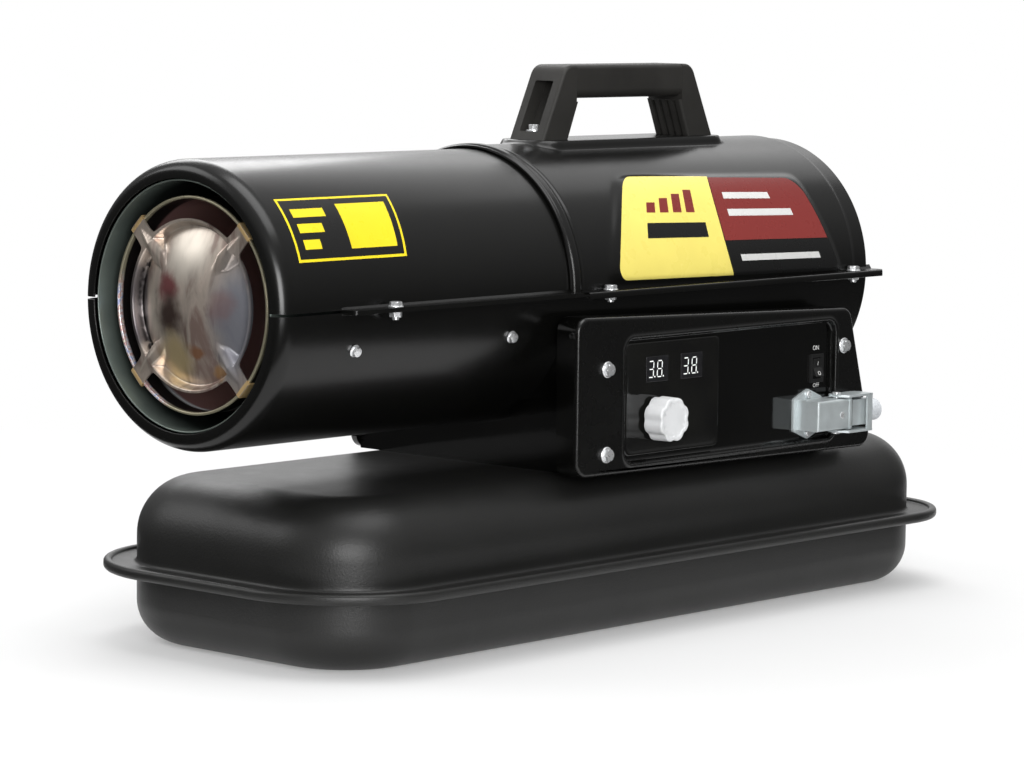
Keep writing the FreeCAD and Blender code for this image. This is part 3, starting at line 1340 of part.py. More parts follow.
def flame_tube():
    """Inner tube that holds the flame, with a rolled bead at its mouth."""
    bore = FLAME_RADIUS - FLAME_SHEET
    path = [
        (FLAME_REAR, FLAME_RADIUS),
        (FLAME_FRONT + FLAME_BEAD_WIDTH, FLAME_RADIUS),
        ((FLAME_FRONT + FLAME_BEAD_WIDTH / 2, FLAME_RADIUS + FLAME_BEAD), (FLAME_FRONT, FLAME_RADIUS)),
        (FLAME_FRONT, bore),
        (FLAME_REAR, bore),
    ]
    return revolved(path, 0, 360)


def chamber_ring():
    """Pierced ring that centres the flame tube in the rear of the liner."""
    rear = at_axis(LINER_REAR)
    front = at_axis(LINER_REAR - RING_THICK)
    ring = pipe(LINER_RADIUS - LINER_SHEET - FIT, FLAME_RADIUS + FIT, front, rear)
    middle = (LINER_RADIUS - LINER_SHEET + FLAME_RADIUS) / 2
    holes = []
    for index in range(RING_HOLES):
        turn = 2 * math.pi * index / RING_HOLES
        offset = Vector(0, middle * math.cos(turn), middle * math.sin(turn))
        holes.append(rod(RING_HOLE_RADIUS, front + offset, rear + offset))
    return ring.cut(holes)


def dome_depth(radius):
    """Place along the tube of the dome's front at one distance from the axis."""
    sag = BAFFLE_CURVE - math.sqrt(BAFFLE_CURVE ** 2 - radius ** 2)
    return BAFFLE_FLOOR - BAFFLE_BULGE + sag


def baffle_disc():
    """Round pressing: a dome that fills the middle, in a rim turned towards the outlet."""
    half = BAFFLE_DOME / 2
    back = BAFFLE_FLOOR + BAFFLE_SHEET
    path = [
        (dome_depth(0.0), 0.0),
        ((dome_depth(half), half), (BAFFLE_FLOOR, BAFFLE_DOME)),
        (BAFFLE_FLOOR, BAFFLE_FLAT),
        (BAFFLE_FRONT, BAFFLE_RADIUS - BAFFLE_SHEET),
        (BAFFLE_FRONT, BAFFLE_RADIUS),
        (back, BAFFLE_FLAT + BAFFLE_SHEET),
        (back, BAFFLE_DOME),
        ((dome_depth(half) + BAFFLE_SHEET, half), (dome_depth(0.0) + BAFFLE_SHEET, 0.0)),
    ]
    return revolved(path, 0, 360)


def baffle_arm():
    """Upright arm that spreads into the rim, with a tab hooked over the flame tube's mouth."""
    half = ARM_WIDTH / 2
    foot = half + ARM_FLARE
    low = math.sqrt((BAFFLE_RADIUS - BAFFLE_SHEET / 2) ** 2 - foot ** 2)
    top = ARM_HOOK + BAFFLE_SHEET
    rows = ((-foot, low), (-half, BAFFLE_RADIUS + ARM_FLARE / 2), (-half, top))
    corners = [at_axis(BAFFLE_FRONT, side, up) for side, up in rows]
    corners += [at_axis(BAFFLE_FRONT, -side, up) for side, up in reversed(rows)]
    strip = prism(corners, [0.0, ARM_ROUND, 0.0, 0.0, ARM_ROUND, 0.0], X_AXIS * BAFFLE_SHEET)
    tab_ends = (BAFFLE_FRONT, FLAME_FRONT + ARM_TAB)
    tab = block(tab_ends, (-half, half), (AXIS_HEIGHT + ARM_HOOK, AXIS_HEIGHT + top))
    return [strip, tab]


def arm_rib():
    """Dart pressed across the rim: low near the tab, highest at the rim, run out on the dome."""
    bore = FLAME_RADIUS - FLAME_SHEET - FIT
    tip = BAFFLE_RADIUS - ARM_RIB_RUN
    dome = dome_depth(tip)
    rows = (
        (bore, ARM_RIB_TIP, BAFFLE_FRONT - ARM_RIB_TIP, BAFFLE_FRONT, FLAME_FRONT),
        (BAFFLE_RADIUS, ARM_RIB_HALF, BAFFLE_FRONT - ARM_RIB_HEIGHT, BAFFLE_FRONT, BAFFLE_FLOOR),
        (tip, ARM_RIB_TIP, dome, dome + BAFFLE_SHEET / 4, dome + BAFFLE_SHEET / 2),
    )
    wires = []
    for up, spread, ridge, shoulder, floor in rows:
        points = [at_axis(floor, -spread, up), at_axis(shoulder, -spread, up), at_axis(ridge, 0.0, up)]
        points += [at_axis(shoulder, spread, up), at_axis(floor, spread, up)]
        wires.append(Part.makePolygon(points + points[:1]))
    return Part.makeLoft(wires, True, True)


def flame_baffle():
    """Domed baffle in the outlet, carried by four ribbed arms."""
    pieces = [baffle_disc()]
    for index in range(ARM_COUNT):
        for piece in baffle_arm() + [arm_rib()]:
            piece.rotate(at_axis(0), X_AXIS, 360.0 * (index + 0.5) / ARM_COUNT)
            pieces.append(piece)
    return fused(pieces)


def igniter_line(start, end):
    """Two points on the igniter's axis, above and beside the nozzle."""
    return at_axis(start, IGNITER_OFFSET, IGNITER_OFFSET), at_axis(end, IGNITER_OFFSET, IGNITER_OFFSET)


def cell_line(start, end):
    """Two points on the flame sensor's axis."""
    return at_axis(start, -CELL_OFFSET, 0.0), at_axis(end, -CELL_OFFSET, 0.0)


def burner_plate():
    """Disc closing the rear of the flame tube, with swirl slots round the nozzle holder."""
    front = at_axis(BURNER_FACE)
    back = at_axis(BURNER_BACK)
    disc = rod(FLAME_RADIUS - FLAME_SHEET - FIT, front, back)
    cuts = [rod(HOLDER_RADIUS + FIT, front, back)]
    cuts.append(rod(IGNITER_RADIUS + FIT, *igniter_line(BURNER_FACE, BURNER_BACK)))
    cuts.append(rod(CELL_RADIUS / 2, *cell_line(BURNER_FACE, BURNER_BACK)))
    for index in range(SWIRL_SLOTS):
        slot = block(
            (BURNER_FACE, BURNER_BACK),
            (-SWIRL_WIDTH / 2, SWIRL_WIDTH / 2),
            (AXIS_HEIGHT + SWIRL_INNER + 2 * IGNITER_RADIUS, AXIS_HEIGHT + SWIRL_OUTER),
        )
        slot.rotate(at_axis(0), X_AXIS, 360.0 * (index + 0.5) / SWIRL_SLOTS)
        cuts.append(slot)
    return disc.cut(cuts)


def nozzle_holder():
    """Brass holder through the burner plate, where the air and fuel lines meet."""
    start = BURNER_FACE - HOLDER_RADIUS
    end = start + HOLDER_RADIUS + HOLDER_LENGTH
    body = rod(HOLDER_RADIUS, at_axis(start), at_axis(end))
    return body.cut(rod(NOZZLE_RADIUS, at_axis(start), at_axis(start + NOZZLE_LENGTH / 2)))


def fuel_nozzle():
    """Nozzle screwed into the holder, ending in a cone."""
    seat = BURNER_FACE - HOLDER_RADIUS + NOZZLE_LENGTH / 2
    shank = rod(NOZZLE_RADIUS - FIT, at_axis(seat - NOZZLE_LENGTH / 2), at_axis(seat))
    cone_start = at_axis(seat - NOZZLE_LENGTH / 2)
    cone = Part.makeCone(NOZZLE_RADIUS - FIT, NOZZLE_TIP, NOZZLE_LENGTH / 2, cone_start, Vector(-1, 0, 0))
    return fused([shank, cone])


def igniter():
    """Ceramic igniter through the burner plate, with its electrode reaching to the nozzle."""
    front = BURNER_FACE - HOLDER_RADIUS
    ceramic = rod(IGNITER_RADIUS, *igniter_line(front, front + IGNITER_LENGTH))
    collar = rod(2 * IGNITER_RADIUS, *igniter_line(BURNER_BACK, BURNER_BACK + IGNITER_RADIUS))
    electrode = rod(ELECTRODE_RADIUS, *igniter_line(front - ELECTRODE_LENGTH, front))
    return fused([ceramic, collar, electrode])


def flame_sensor():
    """Light cell that watches the flame through a hole in the burner plate."""
    body = rod(CELL_RADIUS, *cell_line(BURNER_BACK, BURNER_BACK + CELL_LENGTH))
    return body.makeChamfer(CELL_RADIUS / 4, edges_at(body, "x", BURNER_BACK + CELL_LENGTH))


# Motor, fan and pump


def motor_shaft():
    """Shaft through the motor, with the fan in front and the pump rotor behind."""
    return rod(SHAFT_RADIUS, at_axis(SHAFT_FRONT), at_axis(PUMP_REAR - PUMP_BACK))


def fan():
    """Hub with twisted sheet blades, pushing air towards the burner."""
    hub_front = FAN_CENTRE - FAN_HUB_LENGTH / 2
    hub = rod(FAN_HUB_RADIUS, at_axis(hub_front), at_axis(hub_front + FAN_HUB_LENGTH))
    sections = []
    root = FAN_HUB_RADIUS - BLADE_THICK
    rows = ((root, BLADE_ROOT_CHORD, BLADE_ROOT_PITCH), (FAN_RADIUS, BLADE_TIP_CHORD, BLADE_TIP_PITCH))
    for radius, chord, pitch in rows:
        turn = math.radians(pitch)
        along = Vector(math.sin(turn), math.cos(turn), 0) * (chord / 2)
        across = Vector(math.cos(turn), -math.sin(turn), 0) * (BLADE_THICK / 2)
        middle = at_axis(FAN_CENTRE, up=radius)
        corners = [middle + along + across, middle - along + across]
        corners += [middle - along - across, middle + along - across]
        sections.append(Part.makePolygon(corners + corners[:1]))
    blade = Part.makeLoft(sections, True, True)
    blades = []
    for index in range(FAN_BLADES):
        copy = blade.copy()
        copy.rotate(at_axis(0), X_AXIS, 360.0 * index / FAN_BLADES)
        blades.append(copy)
    bore = rod(SHAFT_RADIUS, at_axis(SHAFT_FRONT), at_axis(MOTOR_FRONT))
    return fused([hub] + blades).cut(bore)


def motor_body():
    """Motor can with stepped noses, bored for the shaft."""
    path = [
        (MOTOR_FRONT, SHAFT_RADIUS + RUNNING),
        (MOTOR_FRONT, MOTOR_RADIUS / 2),
        (MOTOR_FRONT + MOTOR_NOSE / 2, MOTOR_RADIUS / 2),
        (MOTOR_FRONT + MOTOR_NOSE, MOTOR_RADIUS),
        (MOTOR_REAR - MOTOR_NOSE, MOTOR_RADIUS),
        (MOTOR_REAR - MOTOR_NOSE / 2, MOTOR_RADIUS / 2),
        (MOTOR_REAR, MOTOR_RADIUS / 2),
        (MOTOR_REAR, SHAFT_RADIUS + RUNNING),
    ]
    return revolved(path, 0, 360)


def motor_bracket():
    """Band round the motor on two legs that stand on a curved foot in the lower shell."""
    middle = (MOTOR_FRONT + MOTOR_REAR) / 2
    ends = (middle - BRACKET_WIDTH / 2, middle + BRACKET_WIDTH / 2)
    points = (at_axis(ends[0]), at_axis(ends[1]))
    band = pipe(MOTOR_RADIUS + FIT + BRACKET_SHEET, MOTOR_RADIUS + FIT, *points)
    foot = pipe(SHELL_BORE - FIT, SHELL_BORE - FIT - BRACKET_SHEET, *points)
    under = block(ends, (-BRACKET_FOOT, BRACKET_FOOT), (AXIS_HEIGHT - TUBE_RADIUS, AXIS_HEIGHT))
    foot = foot.common(under)
    space = rod(SHELL_BORE - FIT - BRACKET_SHEET / 2, *points)
    leg = block(ends, (BRACKET_LEG, BRACKET_LEG + BRACKET_SHEET), (AXIS_HEIGHT - TUBE_RADIUS, AXIS_HEIGHT))
    leg = leg.common(space).cut(rod(MOTOR_RADIUS + FIT, *points))
    return fused([band, foot] + both_sides(leg))


def pump_body():
    """Round pump block behind the motor, its bore set off the shaft's axis."""
    body = rod(PUMP_RADIUS, at_axis(MOTOR_REAR), at_axis(PUMP_REAR))
    inside = MOTOR_REAR + PUMP_BACK
    bore = rod(PUMP_BORE, at_axis(inside, up=PUMP_OFFSET), at_axis(PUMP_REAR, up=PUMP_OFFSET))
    shaft_way = rod(SHAFT_RADIUS + RUNNING, at_axis(MOTOR_REAR), at_axis(inside))
    return body.cut([bore, shaft_way])


def vane_block(index, fit):
    """Slot or vane of the pump rotor, reaching in from the rotor's rim."""
    half = VANE_THICK / 2 - fit
    ends = (MOTOR_REAR + PUMP_BACK + ROTOR_GAP, PUMP_REAR - ROTOR_GAP)
    reach = ROTOR_RADIUS - 2 * fit if fit else ROTOR_RADIUS + VANE_THICK
    vane = block(ends, (-half, half), (AXIS_HEIGHT + ROTOR_RADIUS - VANE_DEPTH, AXIS_HEIGHT + reach))
    vane.rotate(at_axis(0), X_AXIS, 360.0 * index / VANE_COUNT)
    return vane


def pump_rotor():
    """Slotted rotor on the rear end of the shaft."""
    ends = (MOTOR_REAR + PUMP_BACK + ROTOR_GAP, PUMP_REAR - ROTOR_GAP)
    rotor = rod(ROTOR_RADIUS, at_axis(ends[0]), at_axis(ends[1]))
    cuts = [vane_block(index, 0.0) for index in range(VANE_COUNT)]
    cuts.append(rod(SHAFT_RADIUS, at_axis(ends[0]), at_axis(PUMP_REAR - PUMP_BACK)))
    return rotor.cut(cuts)


def pump_vanes():
    """Carbon vanes drawn back into the rotor's slots."""
    return Part.makeCompound([vane_block(index, VANE_FIT) for index in range(VANE_COUNT)])


def pump_cover():
    """End plate that closes the pump, with a rounded filter housing and intake slots."""
    plate = rod(PUMP_RADIUS, at_axis(PUMP_REAR), at_axis(COVER_REAR))
    housing = rod(FILTER_RADIUS, at_axis(COVER_REAR), at_axis(FILTER_REAR))
    housing = housing.makeFillet(FILTER_ROUND, edges_at(housing, "x", FILTER_REAR))
    slots = []
    half = FILTER_RADIUS / 2
    deep = (FILTER_REAR - FILTER_ROUND / 2, FILTER_REAR)
    for index in range(-2, 3):
        z = AXIS_HEIGHT + index * FILTER_ROUND
        slots.append(block(deep, (-half, half), (z - 1.0, z + 1.0)))
    return fused([plate, housing]).cut(slots)


def rear_guard():
    """Guard in the rear mouth: an outer band, round bars and spokes."""
    rear = TUBE_REAR - GUARD_INSET
    outer = SHELL_BORE - FIT
    band = pipe(outer, outer - GUARD_BAND_SHEET, at_axis(rear - GUARD_BAND), at_axis(rear))
    bars = [band]
    face = (at_axis(rear - GUARD_WIRE), at_axis(rear))
    for index in range(GUARD_RINGS):
        radius = GUARD_FIRST + index * GUARD_STEP
        bars.append(pipe(radius + GUARD_WIRE / 2, radius - GUARD_WIRE / 2, *face))
    half = GUARD_WIRE / 2
    deep = (rear - 2 * GUARD_WIRE, rear - GUARD_WIRE)
    tall = (AXIS_HEIGHT + GUARD_FIRST - half, AXIS_HEIGHT + outer - GUARD_BAND_SHEET / 2)
    for index in range(GUARD_SPOKES):
        spoke = block(deep, (-half, half), tall)
        spoke.rotate(at_axis(0), X_AXIS, 360.0 * (index + 0.5) / GUARD_SPOKES)
        bars.append(spoke)
    return fused(bars)


# Electrics and lines


def control_board():
    """Printed board behind the displays, on four posts from the recess floor."""
    board = block((BOARD_FRONT, BOARD_REAR), (BOARD_FACE, BOARD_FACE + BOARD_THICK), (BOARD_LOW, BOARD_TOP))
    window = DIAL_BODY_RADIUS + 2
    board = board.cut(rod(window, knob_line(BOARD_FACE), knob_line(BOARD_FACE + BOARD_THICK)))
    posts = []
    for x in (BOARD_FRONT + 2 * BOARD_POST, BOARD_REAR - 2 * BOARD_POST):
        for z in (BOARD_LOW + 2 * BOARD_POST, BOARD_TOP - 2 * BOARD_POST):
            posts.append(rod(BOARD_POST, Vector(x, FLOOR_BACK, z), Vector(x, BOARD_FACE, z)))
    return fused([board] + posts)


def ignition_coil():
    """Ignition transformer on the floor of the support box."""
    coil = block(COIL_X, COIL_Y, (BASE_FLOOR, BASE_FLOOR + COIL_HEIGHT))
    return coil.makeFillet(COIL_ROUND, edges_at(coil, "z", BASE_FLOOR + COIL_HEIGHT))


def fuel_line():
    """Line from the pick-up fitting up through the lower shell to the side of the nozzle holder."""
    start = Vector(PICKUP_X, PICKUP_Y, TANK_HEIGHT + PICKUP_HEIGHT)
    corner = at_axis(PICKUP_X, PICKUP_Y)
    return bent_line([start, corner, at_axis(PICKUP_X, HOLDER_RADIUS)], LINE_BEND, LINE_RADIUS)


def air_line():
    """Line from the pump down through the shell, along the box and up to the nozzle holder."""
    points = [
        at_axis(AIR_PORT_X, up=-PUMP_RADIUS),
        Vector(AIR_PORT_X, 0, AIR_RUN_HEIGHT),
        Vector(AIR_END_X, 0, AIR_RUN_HEIGHT),
        at_axis(AIR_END_X, up=-HOLDER_RADIUS),
    ]
    return bent_line(points, LINE_BEND, LINE_RADIUS)


def line_grommets():
    """Rubber bushes where the lines pass through the lower shell."""
    bushes = []
    for x, y in line_crossings():
        level = AXIS_HEIGHT - math.sqrt(TUBE_RADIUS ** 2 - y ** 2)
        slant = abs(y) / TUBE_RADIUS * 2 * LINE_RADIUS
        low = Vector(x, y, level - GROMMET_HALF - slant)
        high = Vector(x, y, level + GROMMET_HALF + slant)
        bushes.append(pipe(LINE_RADIUS + GROMMET_WALL - FIT, LINE_RADIUS + FIT / 2, low, high))
    return Part.makeCompound(bushes)


# Fasteners


def flange_bolts():
    """Washer-faced bolts down through the seam flanges."""
    bolts = []
    for x in FLANGE_BOLTS:
        seat = Vector(x, FLANGE_BOLT_Y, AXIS_HEIGHT + SHELL_SHEET)
        length = 2 * SHELL_SHEET + NUT_HEIGHT + BOLT_TAIL
        bolt = hex_screw(seat, -Z_AXIS, length, FLANGE_BOLT_RADIUS, disc=FLANGE_WASHER)
        bolts += both_sides(bolt)
    return Part.makeCompound(bolts)


def flange_nuts():
    """Nuts under the seam flanges."""
    nuts = []
    for x in FLANGE_BOLTS:
        top = Vector(x, FLANGE_BOLT_Y, AXIS_HEIGHT - SHELL_SHEET)
        nut = hexagon(BOLT_HEAD_FLATS, top - Z_AXIS * NUT_HEIGHT, top)
        nuts += both_sides(nut.cut(rod(FLANGE_BOLT_RADIUS + FIT, top - Z_AXIS * NUT_HEIGHT, top)))
    return Part.makeCompound(nuts)


def side_screws():
    """Screws through the lower shell and the spacers into the liner."""
    screws = []
    length = TUBE_RADIUS - LINER_RADIUS + LINER_SHEET
    for start, out in side_screw_lines():
        seat = start + out * (TUBE_RADIUS + FIT)
        screws.append(hex_screw(seat, out * -1, length, SCREW_RADIUS, SIDE_HEAD_FLATS, SIDE_WASHER))
    return Part.makeCompound(screws)


def liner_spacers():
    """Bushes that hold the liner off the lower shell."""
    bushes = []
    for start, out in side_screw_lines():
        ends = (start + out * (LINER_RADIUS + FIT), start + out * (SHELL_BORE - FIT))
        bushes.append(pipe(SPACER_RADIUS, SCREW_RADIUS + SCREW_CLEARANCE, *ends))
    return Part.makeCompound(bushes)


def cover_screws():
    """Screws of both covers, one in each post with its head on the cover's face."""
    screws = []
    for x, z in post_places(PANEL_FRONT):
        screws.append(hex_screw(Vector(x, -PANEL_Y, z), Y_AXIS, PANEL_Y - SIDE_Y, SCREW_RADIUS))
    for x, z in post_places(FAR_COVER_FRONT):
        screws.append(hex_screw(Vector(x, FAR_COVER_Y, z), -Y_AXIS, FAR_COVER_Y - SIDE_Y, SCREW_RADIUS))
    return Part.makeCompound(screws)


def handle_screws():
    """Screws standing in the pockets of the handle's legs."""
    screws = []
    for top, bottom in handle_screw_lines():
        screws.append(hex_screw(top, -Z_AXIS, (top - bottom).Length, SCREW_RADIUS, BOLT_HEAD_FLATS - 1))
    return Part.makeCompound(screws)


def connector_screws():
    """Screws in the two ears of the connector's plate."""
    screws = []
    for z in (PLUG_Z - EAR_PITCH, PLUG_Z + EAR_PITCH):
        seat = Vector(PLUG_X, PLATE_FACE, z)
        head = rod(EAR_SCREW_HEAD, seat - Y_AXIS * SCREW_RADIUS, seat)
        head = head.makeFillet(SCREW_RADIUS / 2, edges_at(head, "y", seat.y - SCREW_RADIUS))
        shank = rod(SCREW_RADIUS, seat, seat + Y_AXIS * (PLATE_THICK + 3 * COVER_SHEET))
        screws.append(fused([head, shank]))
    return Part.makeCompound(screws)


def base_bolts():
    """Bolts that hold the support box down on the tank."""
    bolts = []
    for x, y in base_bolt_places():
        seat = Vector(x, y, BASE_FLOOR)
        bolts.append(hex_screw(seat, -Z_AXIS, BASE_SHEET + 2 * TANK_SHEET, BASE_BOLT))
    return Part.makeCompound(bolts)


NODES = [
    tank_upper_shell, tank_lower_pan, fuel_pickup, drain_plug, filler_neck, fuel_strainer, fuel_cap,
    fuel_gauge, support_frame, side_cover, control_cover, display_modules, panel_film, control_knob,
    knob_spindle, thermostat, switch_frame, switch_rocker, connector_housing, connector_seal,
    connector_hood, hood_gland, lever_pins, connector_lever, lower_shell, front_upper_shell,
    rear_upper_shell, handle_frame, handle_grip, heat_liner, flame_tube, chamber_ring, flame_baffle,
    burner_plate, nozzle_holder, fuel_nozzle, igniter, flame_sensor, motor_shaft, fan, motor_body,
    motor_bracket, pump_body, pump_rotor, pump_vanes, pump_cover, rear_guard, control_board,
    ignition_coil, fuel_line, air_line, line_grommets, flange_bolts, flange_nuts, side_screws,
    liner_spacers, cover_screws, handle_screws, connector_screws, base_bolts,
]


def main():
    """Write every piece to a file named after it."""
    os.makedirs("parts", exist_ok=True)
    for build in NODES:
        shape = build()
        if not shape.isValid():
            raise ValueError(build.__name__ + " is not a valid solid")
        shape.exportStep("parts/" + build.__name__ + ".step")


main()
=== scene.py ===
"""Finishes and detail of a direct-fired diesel heater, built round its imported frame.

Lengths inside this file are millimetres until a mesh is made. X runs along the heater tube with
the hot outlet at -X, the control panel faces -Y, and +Z is up.
"""

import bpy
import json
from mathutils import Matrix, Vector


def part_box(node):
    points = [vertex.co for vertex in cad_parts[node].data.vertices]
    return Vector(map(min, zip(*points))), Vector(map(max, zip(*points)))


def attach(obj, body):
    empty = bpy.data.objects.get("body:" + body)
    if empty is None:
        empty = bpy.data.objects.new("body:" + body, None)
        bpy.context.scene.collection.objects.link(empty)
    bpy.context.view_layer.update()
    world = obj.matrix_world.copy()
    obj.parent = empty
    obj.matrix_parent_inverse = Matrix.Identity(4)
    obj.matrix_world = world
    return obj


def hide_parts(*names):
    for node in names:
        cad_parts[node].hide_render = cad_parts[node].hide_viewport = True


bl_info = {
    "name": "Direct-fired heater",
    "version": (1, 0, 0),
    "blender": (4, 5, 0),
    "location": "View3D > Sidebar > Heater",
    "description": "Builds the finished surfaces of a direct-fired diesel heater",
    "category": "Object",
}

import json
import math
from types import SimpleNamespace

import bmesh
import bpy
import numpy as np
from bpy.props import FloatProperty, FloatVectorProperty, PointerProperty
from mathutils import Matrix, Vector
from mathutils.bvhtree import BVHTree

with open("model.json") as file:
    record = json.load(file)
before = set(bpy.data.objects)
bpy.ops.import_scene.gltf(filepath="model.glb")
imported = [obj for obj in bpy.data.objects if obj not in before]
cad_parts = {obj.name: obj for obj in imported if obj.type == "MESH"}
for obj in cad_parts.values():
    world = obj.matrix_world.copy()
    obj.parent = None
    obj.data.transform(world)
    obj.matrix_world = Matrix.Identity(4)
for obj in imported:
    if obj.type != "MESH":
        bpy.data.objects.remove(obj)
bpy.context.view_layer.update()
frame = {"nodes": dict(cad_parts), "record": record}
MM = 0.001
BODY = "heater_body"

# Distances within which corners of a made mesh and of a frame node's mesh are one, and the
# length under which an edge is dropped
MADE_WELD = 0.004
NODE_WELD = 0.01
SLIVER = 0.002

# Turn of the view from +Y towards +X in degrees, and its direction over the floor
VIEW_TURN = 47.7
AHEAD = (math.sin(math.radians(VIEW_TURN)), math.cos(math.radians(VIEW_TURN)))

# Materials by their short names, filled by the step that makes the finishes
FINISHES = {}


def span(node):
    """Lowest and highest corner of a frame node, in millimetres."""
    low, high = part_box(node)
    return np.array(low) / MM, np.array(high) / MM


def length(name, description, millimetres):
    """A length property, given in millimetres and kept in metres."""
    return FloatProperty(
        name=name, description=description, default=millimetres * MM, unit="LENGTH", precision=4
    )


def turning(name, description, degrees):
    """An angle property, given in degrees."""
    return FloatProperty(name=name, description=description, default=math.radians(degrees), subtype="ANGLE")


def tint(name, description, value):
    """A colour property."""
    return FloatVectorProperty(
        name=name, description=description, default=value, subtype="COLOR", size=3, min=0.0, max=1.0
    )


TANK_LOW, TANK_HIGH = span("tank_upper_shell")
TROUGH_LOW, TROUGH_HIGH = span("lower_shell")
ROOF_LOW, ROOF_HIGH = span("rear_upper_shell")
LINER_LOW, LINER_HIGH = span("heat_liner")
FLAME_LOW, FLAME_HIGH = span("flame_tube")
COVER_LOW, COVER_HIGH = span("control_cover")
KNOB_LOW, KNOB_HIGH = span("control_knob")
HANDLE_LOW, HANDLE_HIGH = span("handle_frame")
CAP_LOW, CAP_HIGH = span("fuel_cap")
GUARD_LOW, GUARD_HIGH = span("rear_guard")
FAN_LOW, FAN_HIGH = span("fan")
AXIS = LINER_LOW[2] / 2 + LINER_HIGH[2] / 2
TUBE_RADIUS = AXIS - TROUGH_LOW[2]


class TankSizes(bpy.types.PropertyGroup):
    """Sizes of the pressed fuel tank."""

    rim_length: length("Rim length", "Length over the folded rim", TANK_HIGH[0] - TANK_LOW[0])
    rim_width: length("Rim width", "Width over the folded rim", TANK_HIGH[1] - TANK_LOW[1])
    front_corner: length("Front corner", "Radius of the rim's front corners", 96.0)
    rear_corner: length("Rear corner", "Radius of the rim's rear corners", 76.0)
    overhang: length("Overhang", "How far the rim stands out from the walls", 24.0)
    rim_height: length("Rim height", "Height of the folded rim", 8.0)
    fold: length("Fold", "Width of the folded rim's bead", 6.0)
    seam: length("Seam", "Height of the seam between the halves", span("tank_lower_pan")[1][2])
    height: length("Height", "Height of the tank's top", TANK_HIGH[2])
    shoulder: length("Shoulder", "Radius of the shoulder", 42.0)
    foot: length("Foot", "Radius of the bottom edge", 31.0)
    fillet: length("Fillet", "Radius between the walls and the rim", 3.0)
    sheet: length("Sheet", "Thickness of the tank's sheet", 1.2)


class TubeSizes(bpy.types.PropertyGroup):
    """Sizes of the split heater tube."""

    front: length("Front", "Place of the outlet's lip", TROUGH_LOW[0])
    rear: length("Rear", "Place of the tube's rear end", TROUGH_HIGH[0] - 6.0)
    lip: length("Lip", "Radius of the rolled lip", 9.0)
    outlet: length("Outlet", "Radius of the outlet's edge", 88.0)
    sheet: length("Sheet", "Thickness of the shells", 1.5)
    seam_gap: length("Seam gap", "Open gap between the shells at the outlet", 2.0)
    flange_edge: length("Flange edge", "Reach of the seam flange from the axis", TROUGH_HIGH[1])
    flange_front: length("Flange front", "Front end of the seam flange", -314.5)
    flange_rear: length("Flange rear", "Rear end of the seam flange", TROUGH_HIGH[0])
    notch: length("Notch", "Place of the notch between the upper flanges", -76.0)
    rear_radius: length("Rear radius", "Radius of the rear upper shell", 103.8)
    rear_front: length("Rear shell front", "Front edge of the rear upper shell", ROOF_LOW[0])
    lap: length("Lap", "How far the front shell runs under the rear shell", 24.0)
    bead_height: length("Bead height", "Height of the bead at the rear shell's edge", 1.5)
    bead_width: length("Bead width", "Width of the bead at the rear shell's edge", 11.5)
    groove: length("Groove", "Depth of the groove behind the bead", 1.0)
    step: length("Step", "Where the rear shell steps down", TROUGH_HIGH[0] - 27.0)
    pad_height: length("Pad height", "Height of the raised side pad", 2.6)
    pad_slope: length("Pad slope", "Width of the slope round the side pad", 6.5)
    plateau_top: length("Plateau top", "Height of the handle's seat", ROOF_HIGH[2])


class BurnerSizes(bpy.types.PropertyGroup):
    """Sizes of the burner parts seen in the outlet."""

    liner: length("Liner", "Outer radius of the heat liner", (LINER_HIGH[2] - LINER_LOW[2]) / 2)
    liner_sheet: length("Liner sheet", "Thickness of the liner", 1.2)
    flame: length("Flame tube", "Outer radius of the flame tube", 75.0)
    flame_sheet: length("Flame tube sheet", "Thickness of the flame tube", 1.2)
    disc: length("Baffle", "Radius of the baffle's disc", 60.0)
    bulge: length("Bulge", "Height of the baffle's dome", 13.0)
    dome: length("Dome", "Radius of the baffle's dome", 54.5)
    rim: length("Rim", "Height of the baffle's turned rim", 7.0)
    arm: length("Arm", "Half the width of a baffle arm", 7.0)
    rib: length("Rib", "Height of the rib on a baffle arm", 2.4)
    fillet: length("Fillet", "Rounding of the roots of the baffle's arms", 8.0)
    sheet: length("Sheet", "Thickness of the baffle", 1.2)


class PanelSizes(bpy.types.PropertyGroup):
    """Sizes of the control cover."""

    depth: length("Depth", "Distance of the face from the middle plane", -COVER_LOW[1])
    back: length("Back", "Distance of the cover's open edge from the middle plane", -COVER_HIGH[1])
    corner: length("Corner", "Radius of the cover's corners", 11.0)
    edge: length("Edge", "Rounding of the face's edge", 2.5)
    recess_depth: length("Recess depth", "Depth of the pressed recess", 5.0)
    recess_corner: length("Recess corner", "Radius of the recess corners", 9.0)
    recess_bead: length("Recess bead", "Height of the bead round the recess", 0.68)
    sheet: length("Sheet", "Thickness of the cover", 1.5)


class Colours(bpy.types.PropertyGroup):
    """Colours of the main finishes."""

    shell: tint("Shell paint", "Satin paint of the tube", (0.0030, 0.0030, 0.0027))
    tank: tint("Tank paint", "Textured paint of the tank", (0.0100, 0.0100, 0.0095))
    panel: tint("Panel paint", "Gloss paint of the covers", (0.0018, 0.0018, 0.0016))
    handle: tint("Handle plastic", "Grained plastic of the handle", (0.022, 0.021, 0.019))
    knob: tint("Knob plastic", "Light plastic of the knob", (0.80, 0.81, 0.82))
    enamel: tint("Connector enamel", "Enamel of the panel connector", (0.58, 0.63, 0.64))
    yellow: tint("Yellow", "Yellow of the pad's colour block", (0.97, 0.82, 0.19))
    red: tint("Dark red", "Dark red of the pad's colour block", (0.19, 0.016, 0.013))


